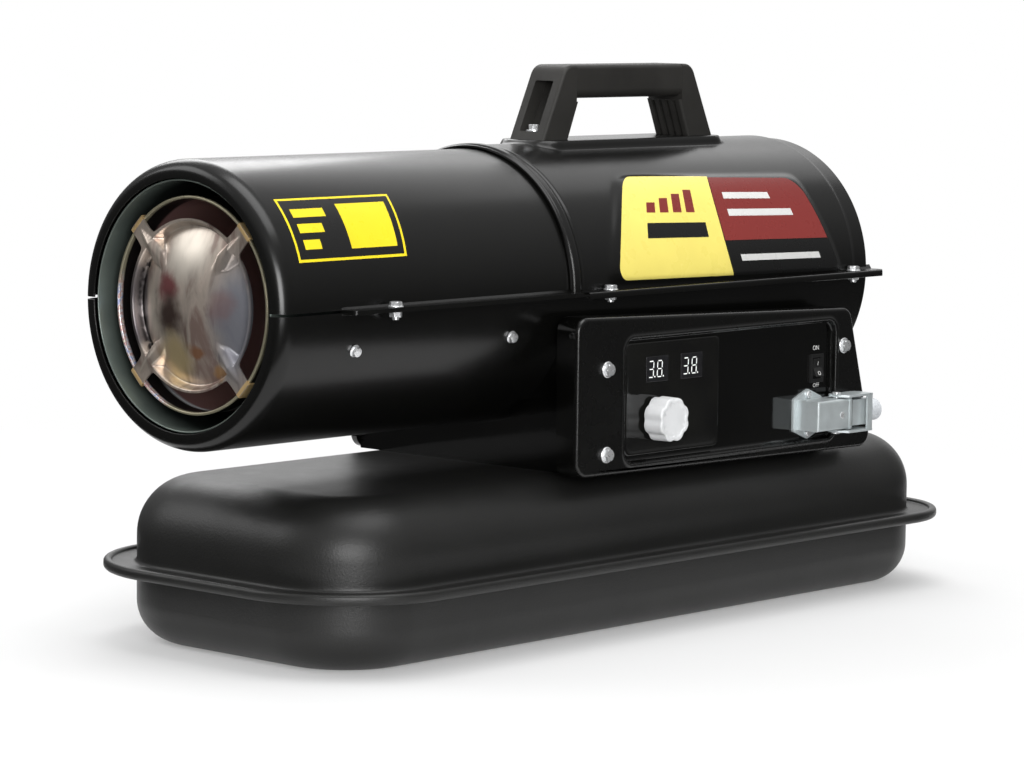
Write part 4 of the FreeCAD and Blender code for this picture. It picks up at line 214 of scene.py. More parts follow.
class StageSettings(bpy.types.PropertyGroup):
    """Camera of the stage."""

    camera_place: FloatVectorProperty(
        name="Camera", description="Place of the camera",
        default=(-2.1360, -1.9159, 0.4771), subtype="TRANSLATION",
    )
    yaw: turning("Yaw", "Turn of the camera", -VIEW_TURN)
    pitch: turning("Pitch", "Tilt of the camera", -6.1)
    roll: turning("Roll", "Roll of the camera", 0.7)
    lens: FloatProperty(name="Lens", description="Focal length in millimetres", default=133.4)


def in_mm(group):
    """The lengths of a property group, in millimetres."""
    return SimpleNamespace(**{name: getattr(group, name) / MM for name in group.__annotations__})


# Grids and outlines


def unit(vectors):
    """Vectors scaled to length one."""
    size = np.linalg.norm(vectors, axis=-1, keepdims=True)
    return vectors / np.where(size > 1e-9, size, 1.0)


def smooth(value):
    """Smooth step from 0 to 1 as the value goes from 0 to 1."""
    value = np.clip(value, 0.0, 1.0)
    return value * value * (3.0 - 2.0 * value)


def lines(*runs):
    """Grid lines in even runs, each given by its start, end and count."""
    return np.concatenate([np.linspace(*run) for run in runs])


def rounded(corners, radii, steps=6, straight=1):
    """Closed outline with a tangent arc at each corner and even points on its straight runs.

    Each arc turns from the point where it leaves one side to the point where it meets the next:
    centre plus a circular blend of the two spokes. Every outline with the same number of
    corners, steps and straight points has the same number of points, in the same order.
    """
    corners = np.asarray(corners, float)
    radii = np.broadcast_to(np.asarray(radii, float), len(corners))[:, None]
    before = unit(np.roll(corners, 1, 0) - corners)
    after = unit(np.roll(corners, -1, 0) - corners)
    half = np.arccos(np.clip((before * after).sum(1, keepdims=True), -1.0, 1.0)) / 2
    start = corners + before * radii / np.tan(half)
    end = corners + after * radii / np.tan(half)
    centre = corners + unit(before + after) * radii / np.sin(half)
    sweep = np.maximum(math.pi - 2 * half, 1e-6)[:, None]
    t = np.linspace(0.0, 1.0, steps + 1)[None, :, None]
    first = (start - centre)[:, None] * np.sin((1 - t) * sweep)
    last = (end - centre)[:, None] * np.sin(t * sweep)
    arcs = centre[:, None] + (first + last) / np.sin(sweep)
    share = (np.arange(1, straight) / straight)[None, :, None]
    runs = end[:, None] * (1 - share) + np.roll(start, -1, 0)[:, None] * share
    return np.concatenate([arcs, runs], axis=1).reshape(-1, corners.shape[1])


def inset(corners, distance):
    """Corners of a convex outline moved inwards by one distance on every side."""
    corners = np.asarray(corners, float)
    before = unit(np.roll(corners, 1, 0) - corners)
    after = unit(np.roll(corners, -1, 0) - corners)
    half = np.arccos((before * after).sum(1, keepdims=True)) / 2
    return corners + unit(before + after) * distance / np.sin(half)


def arc(centre, radius, start, end, steps):
    """Points on an arc in a plane, with its angles in degrees."""
    turn = np.radians(np.linspace(start, end, steps + 1))
    return np.asarray(centre) + radius * np.stack([np.cos(turn), np.sin(turn)], 1)


def turned(profile, angles):
    """Profile of (place, radius) points turned about the tube's axis.

    Angles are counted from straight up towards the control panel, so a point is at
    (place, -radius sin angle, axis + radius cos angle). Rows are angles, columns profile points.
    """
    place, radius = np.asarray(profile).T
    across = -radius[None, :] * np.sin(angles)[:, None]
    up = AXIS + radius[None, :] * np.cos(angles)[:, None]
    return np.stack([np.broadcast_to(place, across.shape), across, up], -1)


def spun(profile, centre, axis, steps=48, lobes=None):
    """Profile of (along, radius) points spun about any axis; lobes scale the radius by angle."""
    along, radius = np.asarray(profile, float).T
    axis = unit(np.asarray(axis, float))
    helper = np.array([1.0, 0.0, 0.0]) if abs(axis[0]) < 0.9 else np.array([0.0, 1.0, 0.0])
    side = unit(np.cross(axis, helper))
    third = np.cross(axis, side)
    turn = np.arange(steps) * 2 * math.pi / steps
    spokes = np.cos(turn)[:, None] * side + np.sin(turn)[:, None] * third
    reach = np.broadcast_to(radius[:, None], (len(radius), steps))
    if lobes is not None:
        reach = lobes(reach, turn[None, :], along[:, None])
    return np.asarray(centre) + along[:, None, None] * axis + reach[..., None] * spokes


def tube_along(path, radius, sides=16, closed=False):
    """Round tube about a path: a circle carried along it square to the path's direction."""
    path = np.asarray(path, float)
    if closed:
        ahead = unit(np.roll(path, -1, 0) - np.roll(path, 1, 0))
    else:
        ahead = unit(np.gradient(path, axis=0))
    helper = np.where(np.abs(ahead[:, :1]) < 0.9, [[1.0, 0.0, 0.0]], [[0.0, 1.0, 0.0]])
    side = unit(np.cross(ahead, helper))
    third = np.cross(ahead, side)
    turn = np.arange(sides) * 2 * math.pi / sides
    cosine, sine = np.cos(turn)[None, :, None], np.sin(turn)[None, :, None]
    return path[:, None] + radius * (cosine * side[:, None] + sine * third[:, None])


class Shape:
    """Collects grids of points, in millimetres, into one mesh."""

    def __init__(self):
        self.points = []
        self.faces = []
        self.total = 0

    def grid(self, points, wrap=False, ring=False, caps=False):
        """Adds quads over a grid; wrap closes its columns, ring its rows, caps fill its end rows."""
        rows, columns = points.shape[:2]
        row = np.arange(rows if ring else rows - 1)[:, None]
        column = np.arange(columns if wrap else columns - 1)[None, :]
        below = (row + 1) % rows * columns
        beside = (column + 1) % columns
        corners = [row * columns + column, row * columns + beside, below + beside, below + column]
        quads = np.stack(corners, -1).reshape(-1, 4) + self.total
        self.faces += quads.tolist()
        if caps:
            loop = np.arange(columns) + self.total
            self.faces.append(loop[::-1].tolist())
            self.faces.append((loop + (rows - 1) * columns).tolist())
        self.points.append(points.reshape(-1, 3))
        self.total += rows * columns
        return self

    def slab(self, outer, inner):
        """Adds a closed wall between two grids of the same size."""
        rows, columns = outer.shape[:2]
        base = self.total
        self.grid(np.concatenate([outer, inner[::-1]]), ring=True)
        row = np.arange(rows - 1)
        for column in (0, columns - 1):
            top = row * columns + column
            under = (2 * rows - 1 - row) * columns + column
            quads = np.stack([top, top + columns, under - columns, under], -1) + base
            self.faces += quads.tolist()
        return self

    def made(self, name, finish, body=BODY, slot=None, hides=(), sharp=35.0, bevel=0.0):
        """Makes the mesh object, closes its seams, turns its faces outwards and lets it ride."""
        mesh = bpy.data.meshes.new(name)
        mesh.from_pydata(np.concatenate(self.points) * MM, [], self.faces)
        return finished(name, mesh, finish, body, hides, sharp, bevel)


def finished(name, mesh, finish, body, hides, sharp, bevel):
    """Cleans a mesh, shades it smooth between sharp edges and makes it a piece of a body."""
    work = bmesh.new()
    work.from_mesh(mesh)
    bmesh.ops.remove_doubles(work, verts=work.verts, dist=MADE_WELD * MM)
    bmesh.ops.dissolve_degenerate(work, edges=work.edges, dist=SLIVER * MM)
    bmesh.ops.recalc_face_normals(work, faces=work.faces)
    work.to_mesh(mesh)
    work.free()
    mesh.shade_smooth()
    mesh.set_sharp_from_angle(angle=math.radians(sharp))
    mesh.materials.clear()
    mesh.materials.append(FINISHES[finish])
    piece = bpy.data.objects.new(name, mesh)
    bpy.context.scene.collection.objects.link(piece)
    if bevel:
        rounding = piece.modifiers.new("edge", "BEVEL")
        rounding.width = bevel * MM
        rounding.segments = 3
        rounding.limit_method = "ANGLE"
        rounding.angle_limit = math.radians(sharp)
        rounding.harden_normals = True
    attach(piece, body)
    if hides:
        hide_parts(*hides)
    return piece


def dressed(node, finish, bevel, body=BODY, sharp=30.0):
    """A copy of a frame node with merged corners, rounded edges and a finish, in its place."""
    mesh = frame["nodes"][node].data.copy()
    work = bmesh.new()
    work.from_mesh(mesh)
    bmesh.ops.remove_doubles(work, verts=work.verts, dist=NODE_WELD * MM)
    bmesh.ops.dissolve_limit(work, angle_limit=math.radians(0.5), verts=work.verts, edges=work.edges)
    work.to_mesh(mesh)
    work.free()
    return finished(node + "_finish", mesh, finish, body, (node,), sharp, bevel)


# Finishes


class Nodes:
    """Short way to build a procedural material round one shader."""

    def __init__(self, name, **sockets):
        self.material = bpy.data.materials.new(name)
        self.material.use_nodes = True
        self.tree = self.material.node_tree
        self.shader = self.tree.nodes["Principled BSDF"]
        self.place = self.tree.nodes.new("ShaderNodeTexCoord").outputs["Object"]
        for socket, value in sockets.items():
            self.shader.inputs[socket.replace("_", " ")].default_value = value

    def add(self, kind, links=(), **settings):
        """Adds a node, sets its values and links its named or numbered inputs."""
        node = self.tree.nodes.new(kind)
        for key, value in settings.items():
            setattr(node, key, value)
        for socket, source in dict(links).items():
            if isinstance(source, bpy.types.NodeSocket):
                self.tree.links.new(source, node.inputs[socket])
            else:
                node.inputs[socket].default_value = source
        return node

    def noise(self, scale, detail=3.0, roughness=0.5, stretch=(1.0, 1.0, 1.0), distortion=0.0):
        """Noise value in object space, with a scale per metre on each axis."""
        mapping = self.add("ShaderNodeMapping", {"Vector": self.place, "Scale": stretch})
        links = {"Vector": mapping.outputs[0], "Scale": scale, "Detail": detail, "Roughness": roughness}
        links["Distortion"] = distortion
        return self.add("ShaderNodeTexNoise", links).outputs[0]

    def ramp(self, value, *stops):
        """Colour ramp through (place, colour) stops."""
        node = self.add("ShaderNodeValToRGB", {0: value})
        elements = node.color_ramp.elements
        while len(elements) < len(stops):
            elements.new(0.5)
        for element, (place, colour) in zip(elements, stops):
            element.position = place
            element.color = (*colour, 1.0)
        return node.outputs[0]

    def spread(self, value, low, high):
        """A value from 0 to 1, spread between two other limits."""
        return self.add("ShaderNodeMapRange", {"Value": value, "To Min": low, "To Max": high}).outputs[0]

    def between(self, value, low, high):
        """How far a value has gone from one limit to another, from 0 to 1."""
        limits = {"Value": value, "From Min": low, "From Max": high}
        return self.add("ShaderNodeMapRange", limits).outputs[0]

    def axis(self, index):
        """Object place along one axis, in metres."""
        return self.add("ShaderNodeSeparateXYZ", {0: self.place}).outputs[index]

    def math(self, operation, first, second=0.0):
        """One step of arithmetic on two values."""
        return self.add("ShaderNodeMath", {0: first, 1: second}, operation=operation).outputs[0]

    def mix(self, factor, first, second):
        """Blend of two colours."""
        return self.add("ShaderNodeMix", {0: factor, 6: first, 7: second}, data_type="RGBA").outputs[2]

    def warped(self, amount, scale):
        """Object place pushed about by a noise, by up to an amount in millimetres."""
        links = {"Vector": self.place, "Scale": scale, "Detail": 4.0, "Roughness": 0.6}
        push = self.add("ShaderNodeTexNoise", links).outputs["Color"]
        links = {0: push, 1: (0.5, 0.5, 0.5)}
        level = self.add("ShaderNodeVectorMath", links, operation="SUBTRACT").outputs[0]
        links = {0: level, 1: (2 * amount * MM,) * 3, 2: self.place}
        return self.add("ShaderNodeVectorMath", links, operation="MULTIPLY_ADD").outputs[0]

    def spot(self, place, middle, size, inner=0.3):
        """Soft oval across the tube's axis, 1 in its middle and 0 at its edge, in millimetres.

        The middle is given as the distance to the control side and upwards from the axis.
        """
        centre = (0.0, -middle[0] * MM, (AXIS + middle[1]) * MM)
        links = {"Vector": place, "Location": centre, "Scale": (1e3, size[0] * MM, size[1] * MM)}
        oval = self.add("ShaderNodeMapping", links, vector_type="TEXTURE")
        reach = self.add("ShaderNodeVectorMath", {0: oval.outputs[0]}, operation="LENGTH").outputs["Value"]
        fall = {"Value": reach, "From Min": 1.0, "From Max": inner}
        return self.add("ShaderNodeMapRange", fall, interpolation_type="SMOOTHSTEP").outputs[0]

    def set(self, socket, value):
        """Links a value to the shader."""
        self.tree.links.new(value, self.shader.inputs[socket])

    def mottle(self, colour, value, dark, light, places=(0.3, 0.7)):
        """Sets the base colour between a darker and a lighter one, by a value."""
        shades = (scaled(colour, dark), scaled(colour, light))
        self.set("Base Color", self.ramp(value, *zip(places, shades)))

    def rough(self, value, low, high):
        """Sets the roughness between two levels, by a value."""
        self.set("Roughness", self.spread(value, low, high))

    def bump(self, height, strength, distance, below=None):
        """Adds a bump on the shader's normal, over another bump if one is given."""
        links = {"Height": height, "Strength": strength, "Distance": distance * MM}
        if below is not None:
            links["Normal"] = below
        normal = self.add("ShaderNodeBump", links).outputs[0]
        self.set("Normal", normal)
        return normal


def scaled(colour, factor):
    """A colour made lighter or darker."""
    return tuple(min(1.0, channel * factor) for channel in colour)


def shell_paint(colour):
    """Satin paint: a faint orange peel, and a sheen that varies a little."""
    nodes = Nodes("shell_paint", Metallic=0.0, Specular_IOR_Level=0.42)
    nodes.mottle(colour, nodes.noise(9.0, 4.0), 0.85, 1.2)
    nodes.rough(nodes.noise(60.0, 3.0), 0.22, 0.28)
    peel = nodes.bump(nodes.noise(330.0, 2.0), 0.05, 0.25)
    nodes.bump(nodes.noise(1700.0, 1.0), 0.05, 0.05, peel)
    return nodes.material


def tank_paint(colour):
    """Textured powder coat: coarse grains with finer ones on them, and a slightly mottled black."""
    nodes = Nodes("tank_paint", Metallic=0.0, Specular_IOR_Level=0.43)
    nodes.mottle(colour, nodes.noise(7.0, 5.0), 0.85, 1.25, (0.3, 0.75))
    nodes.rough(nodes.noise(45.0, 3.0), 0.36, 0.46)
    grain = nodes.bump(nodes.noise(620.0, 3.0, 0.65), 0.5, 0.35)
    nodes.bump(nodes.noise(1900.0, 2.0), 0.35, 0.10, grain)
    return nodes.material


def panel_paint(colour):
    """Satin paint on the cover's border that turns glossy on the recess floor, by depth."""
    nodes = Nodes("panel_paint", Metallic=0.0, Specular_IOR_Level=0.5)
    nodes.mottle(colour, nodes.noise(14.0, 3.0), 0.8, 1.3)
    face = COVER_LOW[1] * MM
    floor = nodes.between(nodes.axis(1), face + 3.0 * MM, face + 4.5 * MM)
    satin = nodes.spread(nodes.noise(80.0, 2.0), 0.24, 0.31)
    nodes.set("Roughness", nodes.math("ADD", satin, nodes.math("MULTIPLY", floor, -0.20)))
    nodes.bump(nodes.noise(190.0, 2.0), 0.06, 0.3)
    return nodes.material


def handle_plastic(colour):
    """Moulded plastic with a fine spark grain."""
    nodes = Nodes("handle_plastic", Metallic=0.0, Specular_IOR_Level=0.4)
    nodes.mottle(colour, nodes.noise(30.0, 3.0), 0.85, 1.25)
    nodes.rough(nodes.noise(140.0, 2.0), 0.5, 0.62)
    nodes.bump(nodes.noise(2200.0, 2.0, 0.6), 0.3, 0.12)
    return nodes.material


def moulded(name, colour, roughness, grain=1800.0, strength=0.12):
    """Plain moulded plastic or rubber with slight variation and grain."""
    nodes = Nodes(name, Metallic=0.0, Specular_IOR_Level=0.5)
    nodes.mottle(colour, nodes.noise(50.0, 3.0), 0.9, 1.06, (0.25, 0.75))
    nodes.rough(nodes.noise(160.0, 2.0), roughness - 0.05, roughness + 0.06)
    nodes.bump(nodes.noise(grain, 2.0), strength, 0.08)
    return nodes.material


def metal(name, colour, roughness, stretch=(1.0, 1.0, 1.0), scratch=500.0, strength=0.08, dull=0.0):
    """Bare or plated metal with streaks along one direction; a dull share scatters light."""
    nodes = Nodes(name, Metallic=1.0 - dull)
    nodes.mottle(colour, nodes.noise(60.0, 4.0, stretch=stretch), 0.82, 1.1, (0.25, 0.75))
    streak = nodes.noise(scratch, 3.0, stretch=stretch)
    nodes.rough(streak, roughness - 0.07, roughness + 0.1)
    nodes.bump(streak, strength, 0.05)
    return nodes.material


# Each heat colour or painted light as its middle and half size on the baffle, its colour and its strength.
# The first is a painted reflection, the second a painted highlight, and the rest are heat colours.
TINT_AND_LIGHT_SPOTS = (
    # painted reflection: blue-grey where the dome's control side faces darker surroundings
    ((47.0, -8.0), (32.0, 58.0), (0.28, 0.30, 0.36), 0.85),
    # painted highlight: cream where a lamp shows near the top of the dome
    ((-4.0, 36.0), (32.0, 26.0), (0.60, 0.56, 0.49), 0.7),
    ((-19.0, 12.0), (16.0, 15.0), (0.22, 0.06, 0.065), 0.95),
    ((-16.0, -8.0), (22.0, 21.0), (0.07, 0.042, 0.035), 0.97),
    ((-14.0, -37.0), (24.0, 24.0), (0.66, 0.52, 0.27), 0.85),
    ((9.0, -31.0), (8.5, 7.0), (0.38, 0.18, 0.09), 0.9),
    ((33.0, 2.0), (14.0, 18.0), (0.36, 0.17, 0.15), 0.4),
    ((27.0, -46.0), (8.0, 8.0), (0.55, 0.30, 0.10), 0.7),
)


def heat_tint_and_painted_light():
    """Stainless sheet that the flame has coloured, with light and shade painted on.

    Over a bronze grey with upright smears lie soft warped ovals: a blue-grey painted reflection towards
    the control side, a cream painted highlight above, maroon and soot on the other side, straw below
    and a few rusty spots. On the side away from the panel, painted shade darkens the rim, and painted
    shade broken by fine dots lies in the hollow inside the rim.
    """
    nodes = Nodes("heat_tint_and_painted_light", Metallic=0.74)
    colour = nodes.ramp(
        nodes.noise(24.0, 4.0, 0.55, (1.0, 2.2, 0.7), 0.8),
        (0.34, (0.26, 0.19, 0.165)),
        (0.45, (0.50, 0.43, 0.37)),
        (0.55, (0.60, 0.51, 0.44)),
        (0.66, (0.36, 0.26, 0.225)),
    )
    warped = nodes.warped(11.0, 34.0)
    for middle, size, spot_colour, strength in TINT_AND_LIGHT_SPOTS:
        share = nodes.math("MULTIPLY", nodes.spot(warped, middle, size), strength)
        colour = nodes.mix(share, colour, (*spot_colour, 1.0))
    far_side = (-57.0, -5.0)
    whole = nodes.spot(nodes.place, (0.0, 0.0), (57.4, 57.4), 0.98)
    hollow = nodes.math("SUBTRACT", whole, nodes.spot(nodes.place, (0.0, 0.0), (53.0, 53.0), 0.97))
    hollow = nodes.math("MULTIPLY", hollow, nodes.spot(nodes.place, far_side, (26.0, 50.0), 0.7))
    grain = nodes.ramp(nodes.noise(150.0, 1.0), (0.40, (0.2, 0.2, 0.2)), (0.5, (0.97, 0.97, 0.97)))
    # painted shade: the hollow inside the rim, on the side away from the panel, darkened in fine dots
    soot = nodes.math("MULTIPLY", hollow, grain)
    # painted shade over the rim on the side away from the panel
    shade = nodes.math("MULTIPLY", nodes.spot(nodes.place, far_side, (14.0, 46.0), 0.6), 0.85)
    colour = nodes.mix(shade, colour, (0.08, 0.075, 0.085, 1.0))
    nodes.set("Base Color", nodes.mix(soot, colour, (0.03, 0.025, 0.025, 1.0)))
    nodes.rough(nodes.noise(90.0, 4.0), 0.26, 0.38)
    nodes.bump(nodes.noise(26.0, 2.0, distortion=0.5), 0.16, 1.2)
    return nodes.material


def flame_steel():
    """Flame tube, coloured by its depth behind the mouth.

    The edge is straw with rainbow bands low down. Behind it come soot and then maroon scale,
    with a pale painted highlight between them at the bottom.
    """
    nodes = Nodes("flame_steel", Metallic=0.55)
    mouth = FLAME_LOW[0] * MM
    back = nodes.between(nodes.axis(0), mouth, mouth + 40.0 * MM)
    wave = nodes.math("ADD", back, nodes.math("MULTIPLY", nodes.noise(40.0, 3.0), 0.06))
    bands = nodes.ramp(
        nodes.noise(260.0, 2.0, 0.5),
        (0.36, (0.42, 0.46, 0.72)),
        (0.46, (0.82, 0.80, 0.80)),
        (0.56, (0.66, 0.36, 0.36)),
        (0.66, (0.80, 0.74, 0.62)),
    )
    low = nodes.spot(nodes.place, (-62.0, -38.0), (52.0, 62.0), 0.7)
    edge = nodes.mix(low, (0.36, 0.33, 0.23, 1.0), bands)
    depth = nodes.ramp(
        wave,
        (0.12, (0.0, 0.0, 0.0)),
        (0.16, (0.012, 0.010, 0.010)),
        (0.46, (0.014, 0.012, 0.012)),
        (0.54, (0.36, 0.20, 0.19)),
        (1.0, (0.40, 0.23, 0.21)),
    )
    # painted highlight: a pale line at the bottom where the soot meets the maroon scale
    line = nodes.ramp(wave, (0.40, (0.0, 0.0, 0.0)), (0.47, (1.0, 1.0, 1.0)), (0.56, (0.0, 0.0, 0.0)))
    line = nodes.math("MULTIPLY", line, nodes.spot(nodes.place, (-8.0, -74.0), (64.0, 34.0), 0.5))
    depth = nodes.mix(line, depth, (0.86, 0.90, 0.92, 1.0))
    nodes.set("Base Color", nodes.mix(nodes.between(wave, 0.09, 0.13), edge, depth))
    nodes.rough(nodes.noise(70.0, 3.0), 0.26, 0.40)
    nodes.bump(nodes.noise(160.0, 3.0), 0.15, 0.3)
    return nodes.material


def liner_steel():
    """Liner: greenish grey sheet at the mouth, with painted shade that darkens it with its depth, and faint
    streaks.
    """
    nodes = Nodes("liner_steel", Metallic=0.55)
    mouth = LINER_LOW[0] * MM
    back = nodes.between(nodes.axis(0), mouth, mouth + 50.0 * MM)
    wave = nodes.math("ADD", back, nodes.math("MULTIPLY", nodes.noise(22.0, 3.0), 0.5))
    # painted shade: the colour falls from greenish grey at the mouth to near black deeper in
    nodes.set("Base Color", nodes.ramp(
        wave,
        (0.20, (0.22, 0.26, 0.235)),
        (0.42, (0.12, 0.145, 0.13)),
        (0.75, (0.024, 0.030, 0.028)),
    ))
    nodes.rough(nodes.noise(60.0, 3.0), 0.24, 0.38)
    nodes.bump(nodes.noise(300.0, 3.0, stretch=(0.15, 1.0, 1.0)), 0.05, 0.05)
    return nodes.material


def display_window():
    """Dark tinted window of a digit module."""
    nodes = Nodes("display_window", Metallic=0.0, Specular_IOR_Level=0.5)
    dark = nodes.ramp(nodes.noise(120.0), (0.3, (0.010, 0.010, 0.011)), (0.7, (0.016, 0.016, 0.018)))
    nodes.set("Base Color", dark)
    nodes.rough(nodes.noise(200.0), 0.16, 0.24)
    return nodes.material


def lit_segment():
    """Pale lit segment of a display."""
    nodes = Nodes("lit_segment", Roughness=0.4, Emission_Strength=0.55)
    white = nodes.ramp(nodes.noise(300.0), (0.3, (0.80, 0.82, 0.80)), (0.7, (0.9, 0.92, 0.9)))
    nodes.set("Base Color", white)
    nodes.set("Emission Color", white)
    return nodes.material


def gloss_film():
    """Clear-gloss black film that lies in slow waves."""
    nodes = Nodes("gloss_film", Metallic=0.0, Specular_IOR_Level=0.5)
    black = nodes.ramp(nodes.noise(30.0), (0.3, (0.004, 0.004, 0.004)), (0.7, (0.008, 0.008, 0.007)))
    nodes.set("Base Color", black)
    nodes.rough(nodes.noise(120.0), 0.04, 0.09)
    nodes.bump(nodes.noise(26.0, 1.0, 0.4, distortion=0.6), 0.17, 1.2)
    return nodes.material


def printed(name, colour, low_colour=None):
    """Printed colour with a fine grain; with a second colour it fades to that one low down."""
    nodes = Nodes(name, Metallic=0.0, Specular_IOR_Level=0.35)
    if low_colour:
        height = nodes.between(nodes.axis(2), 260.0 * MM, 335.0 * MM)
        nodes.set("Base Color", nodes.ramp(height, (0.0, low_colour), (1.0, colour)))
    else:
        nodes.mottle(colour, nodes.noise(25.0), 0.95, 1.04)
    nodes.rough(nodes.noise(90.0), 0.24, 0.32)
    nodes.bump(nodes.noise(500.0, 2.0), 0.04, 0.05)
    return nodes.material


def studio_white():
    """Pale floor and backdrop: white paper whose far part glows evenly white.

    Seen by the camera, in metal or through glass, the paper is lifted a little, and towards the
    back it blends into a plain white glow by its distance behind the object.
    """
    grey, white = (0.64, 0.64, 0.64, 1.0), (1.0, 1.0, 1.0, 1.0)
    nodes = Nodes(
        "studio_white", Base_Color=grey, Roughness=0.9, Specular_IOR_Level=0.1, Emission_Color=white
    )
    path = nodes.add("ShaderNodeLightPath")
    seen = nodes.math("MAXIMUM", path.outputs["Is Camera Ray"], path.outputs["Is Glossy Ray"])
    seen = nodes.math("MAXIMUM", seen, path.outputs["Is Transmission Ray"])
    nodes.set("Emission Strength", nodes.math("MULTIPLY", seen, 0.26))
    along, across = (nodes.math("MULTIPLY", nodes.axis(axis), AHEAD[axis]) for axis in (0, 1))
    far = nodes.between(nodes.math("ADD", along, across), 0.35, 1.1)
    glow = nodes.add("ShaderNodeEmission", {"Color": white, "Strength": 1.0})
    share = nodes.math("MULTIPLY", far, seen)
    mixed = nodes.add("ShaderNodeMixShader", {0: share, 1: nodes.shader.outputs[0], 2: glow.outputs[0]})
    nodes.tree.links.new(mixed.outputs[0], nodes.tree.nodes["Material Output"].inputs[0])
    return nodes.material


def make_finishes(colours):
    """Makes every finish from the chosen colours, under its short name."""
    FINISHES.update({
        "shell": shell_paint(colours.shell),
        "tank": tank_paint(colours.tank),
        "panel": panel_paint(colours.panel),
        "handle": handle_plastic(colours.handle),
        "knob": moulded("knob_plastic", colours.knob, 0.42, 1500.0, 0.1),
        "switch": moulded("switch_plastic", (0.012, 0.012, 0.012), 0.36),
        "black_plastic": moulded("black_plastic", (0.014, 0.014, 0.014), 0.5, 1400.0, 0.25),
        "enamel": metal("connector_enamel", colours.enamel, 0.33, scratch=700.0, strength=0.10, dull=0.6),
        "gland": moulded("gland_plastic", (0.68, 0.71, 0.74), 0.4),
        "liner": liner_steel(),
        "tint": heat_tint_and_painted_light(),
        "flame": flame_steel(),
        "tab": metal("straw_tab", (0.74, 0.52, 0.25), 0.4, strength=0.12, dull=0.4),
        "zinc": metal("zinc_plate", (0.86, 0.87, 0.88), 0.28, strength=0.06, dull=0.22),
        "steel": metal("ground_steel", (0.52, 0.52, 0.52), 0.3, (0.2, 1.0, 1.0)),
        "aluminium": metal("aluminium", (0.66, 0.67, 0.69), 0.38, strength=0.12),
        "motor": moulded("motor_enamel", (0.07, 0.075, 0.08), 0.45, 900.0, 0.2),
        "brass": metal("brass", (0.72, 0.53, 0.22), 0.3),
        "copper": metal("copper", (0.74, 0.42, 0.26), 0.32),
        "ceramic": moulded("ceramic", (0.78, 0.77, 0.72), 0.2),
        "board": moulded("circuit_board", (0.02, 0.12, 0.05), 0.4),
        "rubber": moulded("seal_rubber", (0.014, 0.014, 0.014), 0.75, 900.0, 0.25),
        "window": display_window(),
        "segment": lit_segment(),
        "film": gloss_film(),
        "yellow": printed("pad_yellow", colours.yellow),
        "red": printed("pad_red", colours.red, (0.29, 0.045, 0.040)),
        "label": printed("label_yellow", (0.95, 0.74, 0.02)),
        "black": printed("pad_black", (0.008, 0.008, 0.008)),
        "white_print": printed("white_print", (0.78, 0.78, 0.76)),
        "stage": studio_white(),
    })


# Finish of each material slot of the frame
SLOT_FINISH = {
    "tank_paint": "tank", "shell_paint": "shell", "cover_paint": "panel", "handle_plastic": "handle",
    "knob_plastic": "knob", "switch_plastic": "switch", "display_plastic": "window",
    "film_plastic": "film", "connector_cast": "enamel", "seal_rubber": "rubber",
    "gland_plastic": "gland", "liner_steel": "liner", "heat_steel": "flame", "zinc": "zinc",
    "steel": "steel", "aluminium": "aluminium", "motor_paint": "motor", "brass": "brass",
    "copper": "copper", "ceramic": "ceramic", "board": "board", "cap_plastic": "black_plastic",
    "carbon": "black_plastic",
}


class HEATER_OT_finishes(bpy.types.Operator):
    """Make the finishes and put them on the frame's own nodes"""

    bl_idname = "heater.finishes"
    bl_label = "Finishes"

    def execute(self, context):
        make_finishes(context.scene.heater_colours)
        for part in frame["record"]["subparts"]:
            mesh = frame["nodes"][part["node"]].data
            mesh.materials.clear()
            mesh.materials.append(FINISHES[SLOT_FINISH[part["material_slot"]]])
        return {"FINISHED"}


# Tank


# How far each flat of the tank runs inwards before one face closes it
TANK_FLAT = 8.0


def tank_ring(tank, draw_in, height):
    """One ring of the tank's plan, drawn in from the rim: a rounded rectangle at one height."""
    x = tank.rim_length / 2 - draw_in
    y = tank.rim_width / 2 - draw_in
    rear = max(tank.rear_corner - draw_in, 0.5)
    front = max(tank.front_corner - draw_in, 0.5)
    plan = rounded([(x, y), (-x, y), (-x, -y), (x, -y)], [rear, front, front, rear], 22, 14)
    return np.column_stack([plan, np.full(len(plan), height)])


def tank_half(tank, profile):
    """Half of the tank: a ring of its plan for each (draw-in, height) of a profile."""
    return Shape().grid(np.stack([tank_ring(tank, *point) for point in profile]), wrap=True, caps=True)


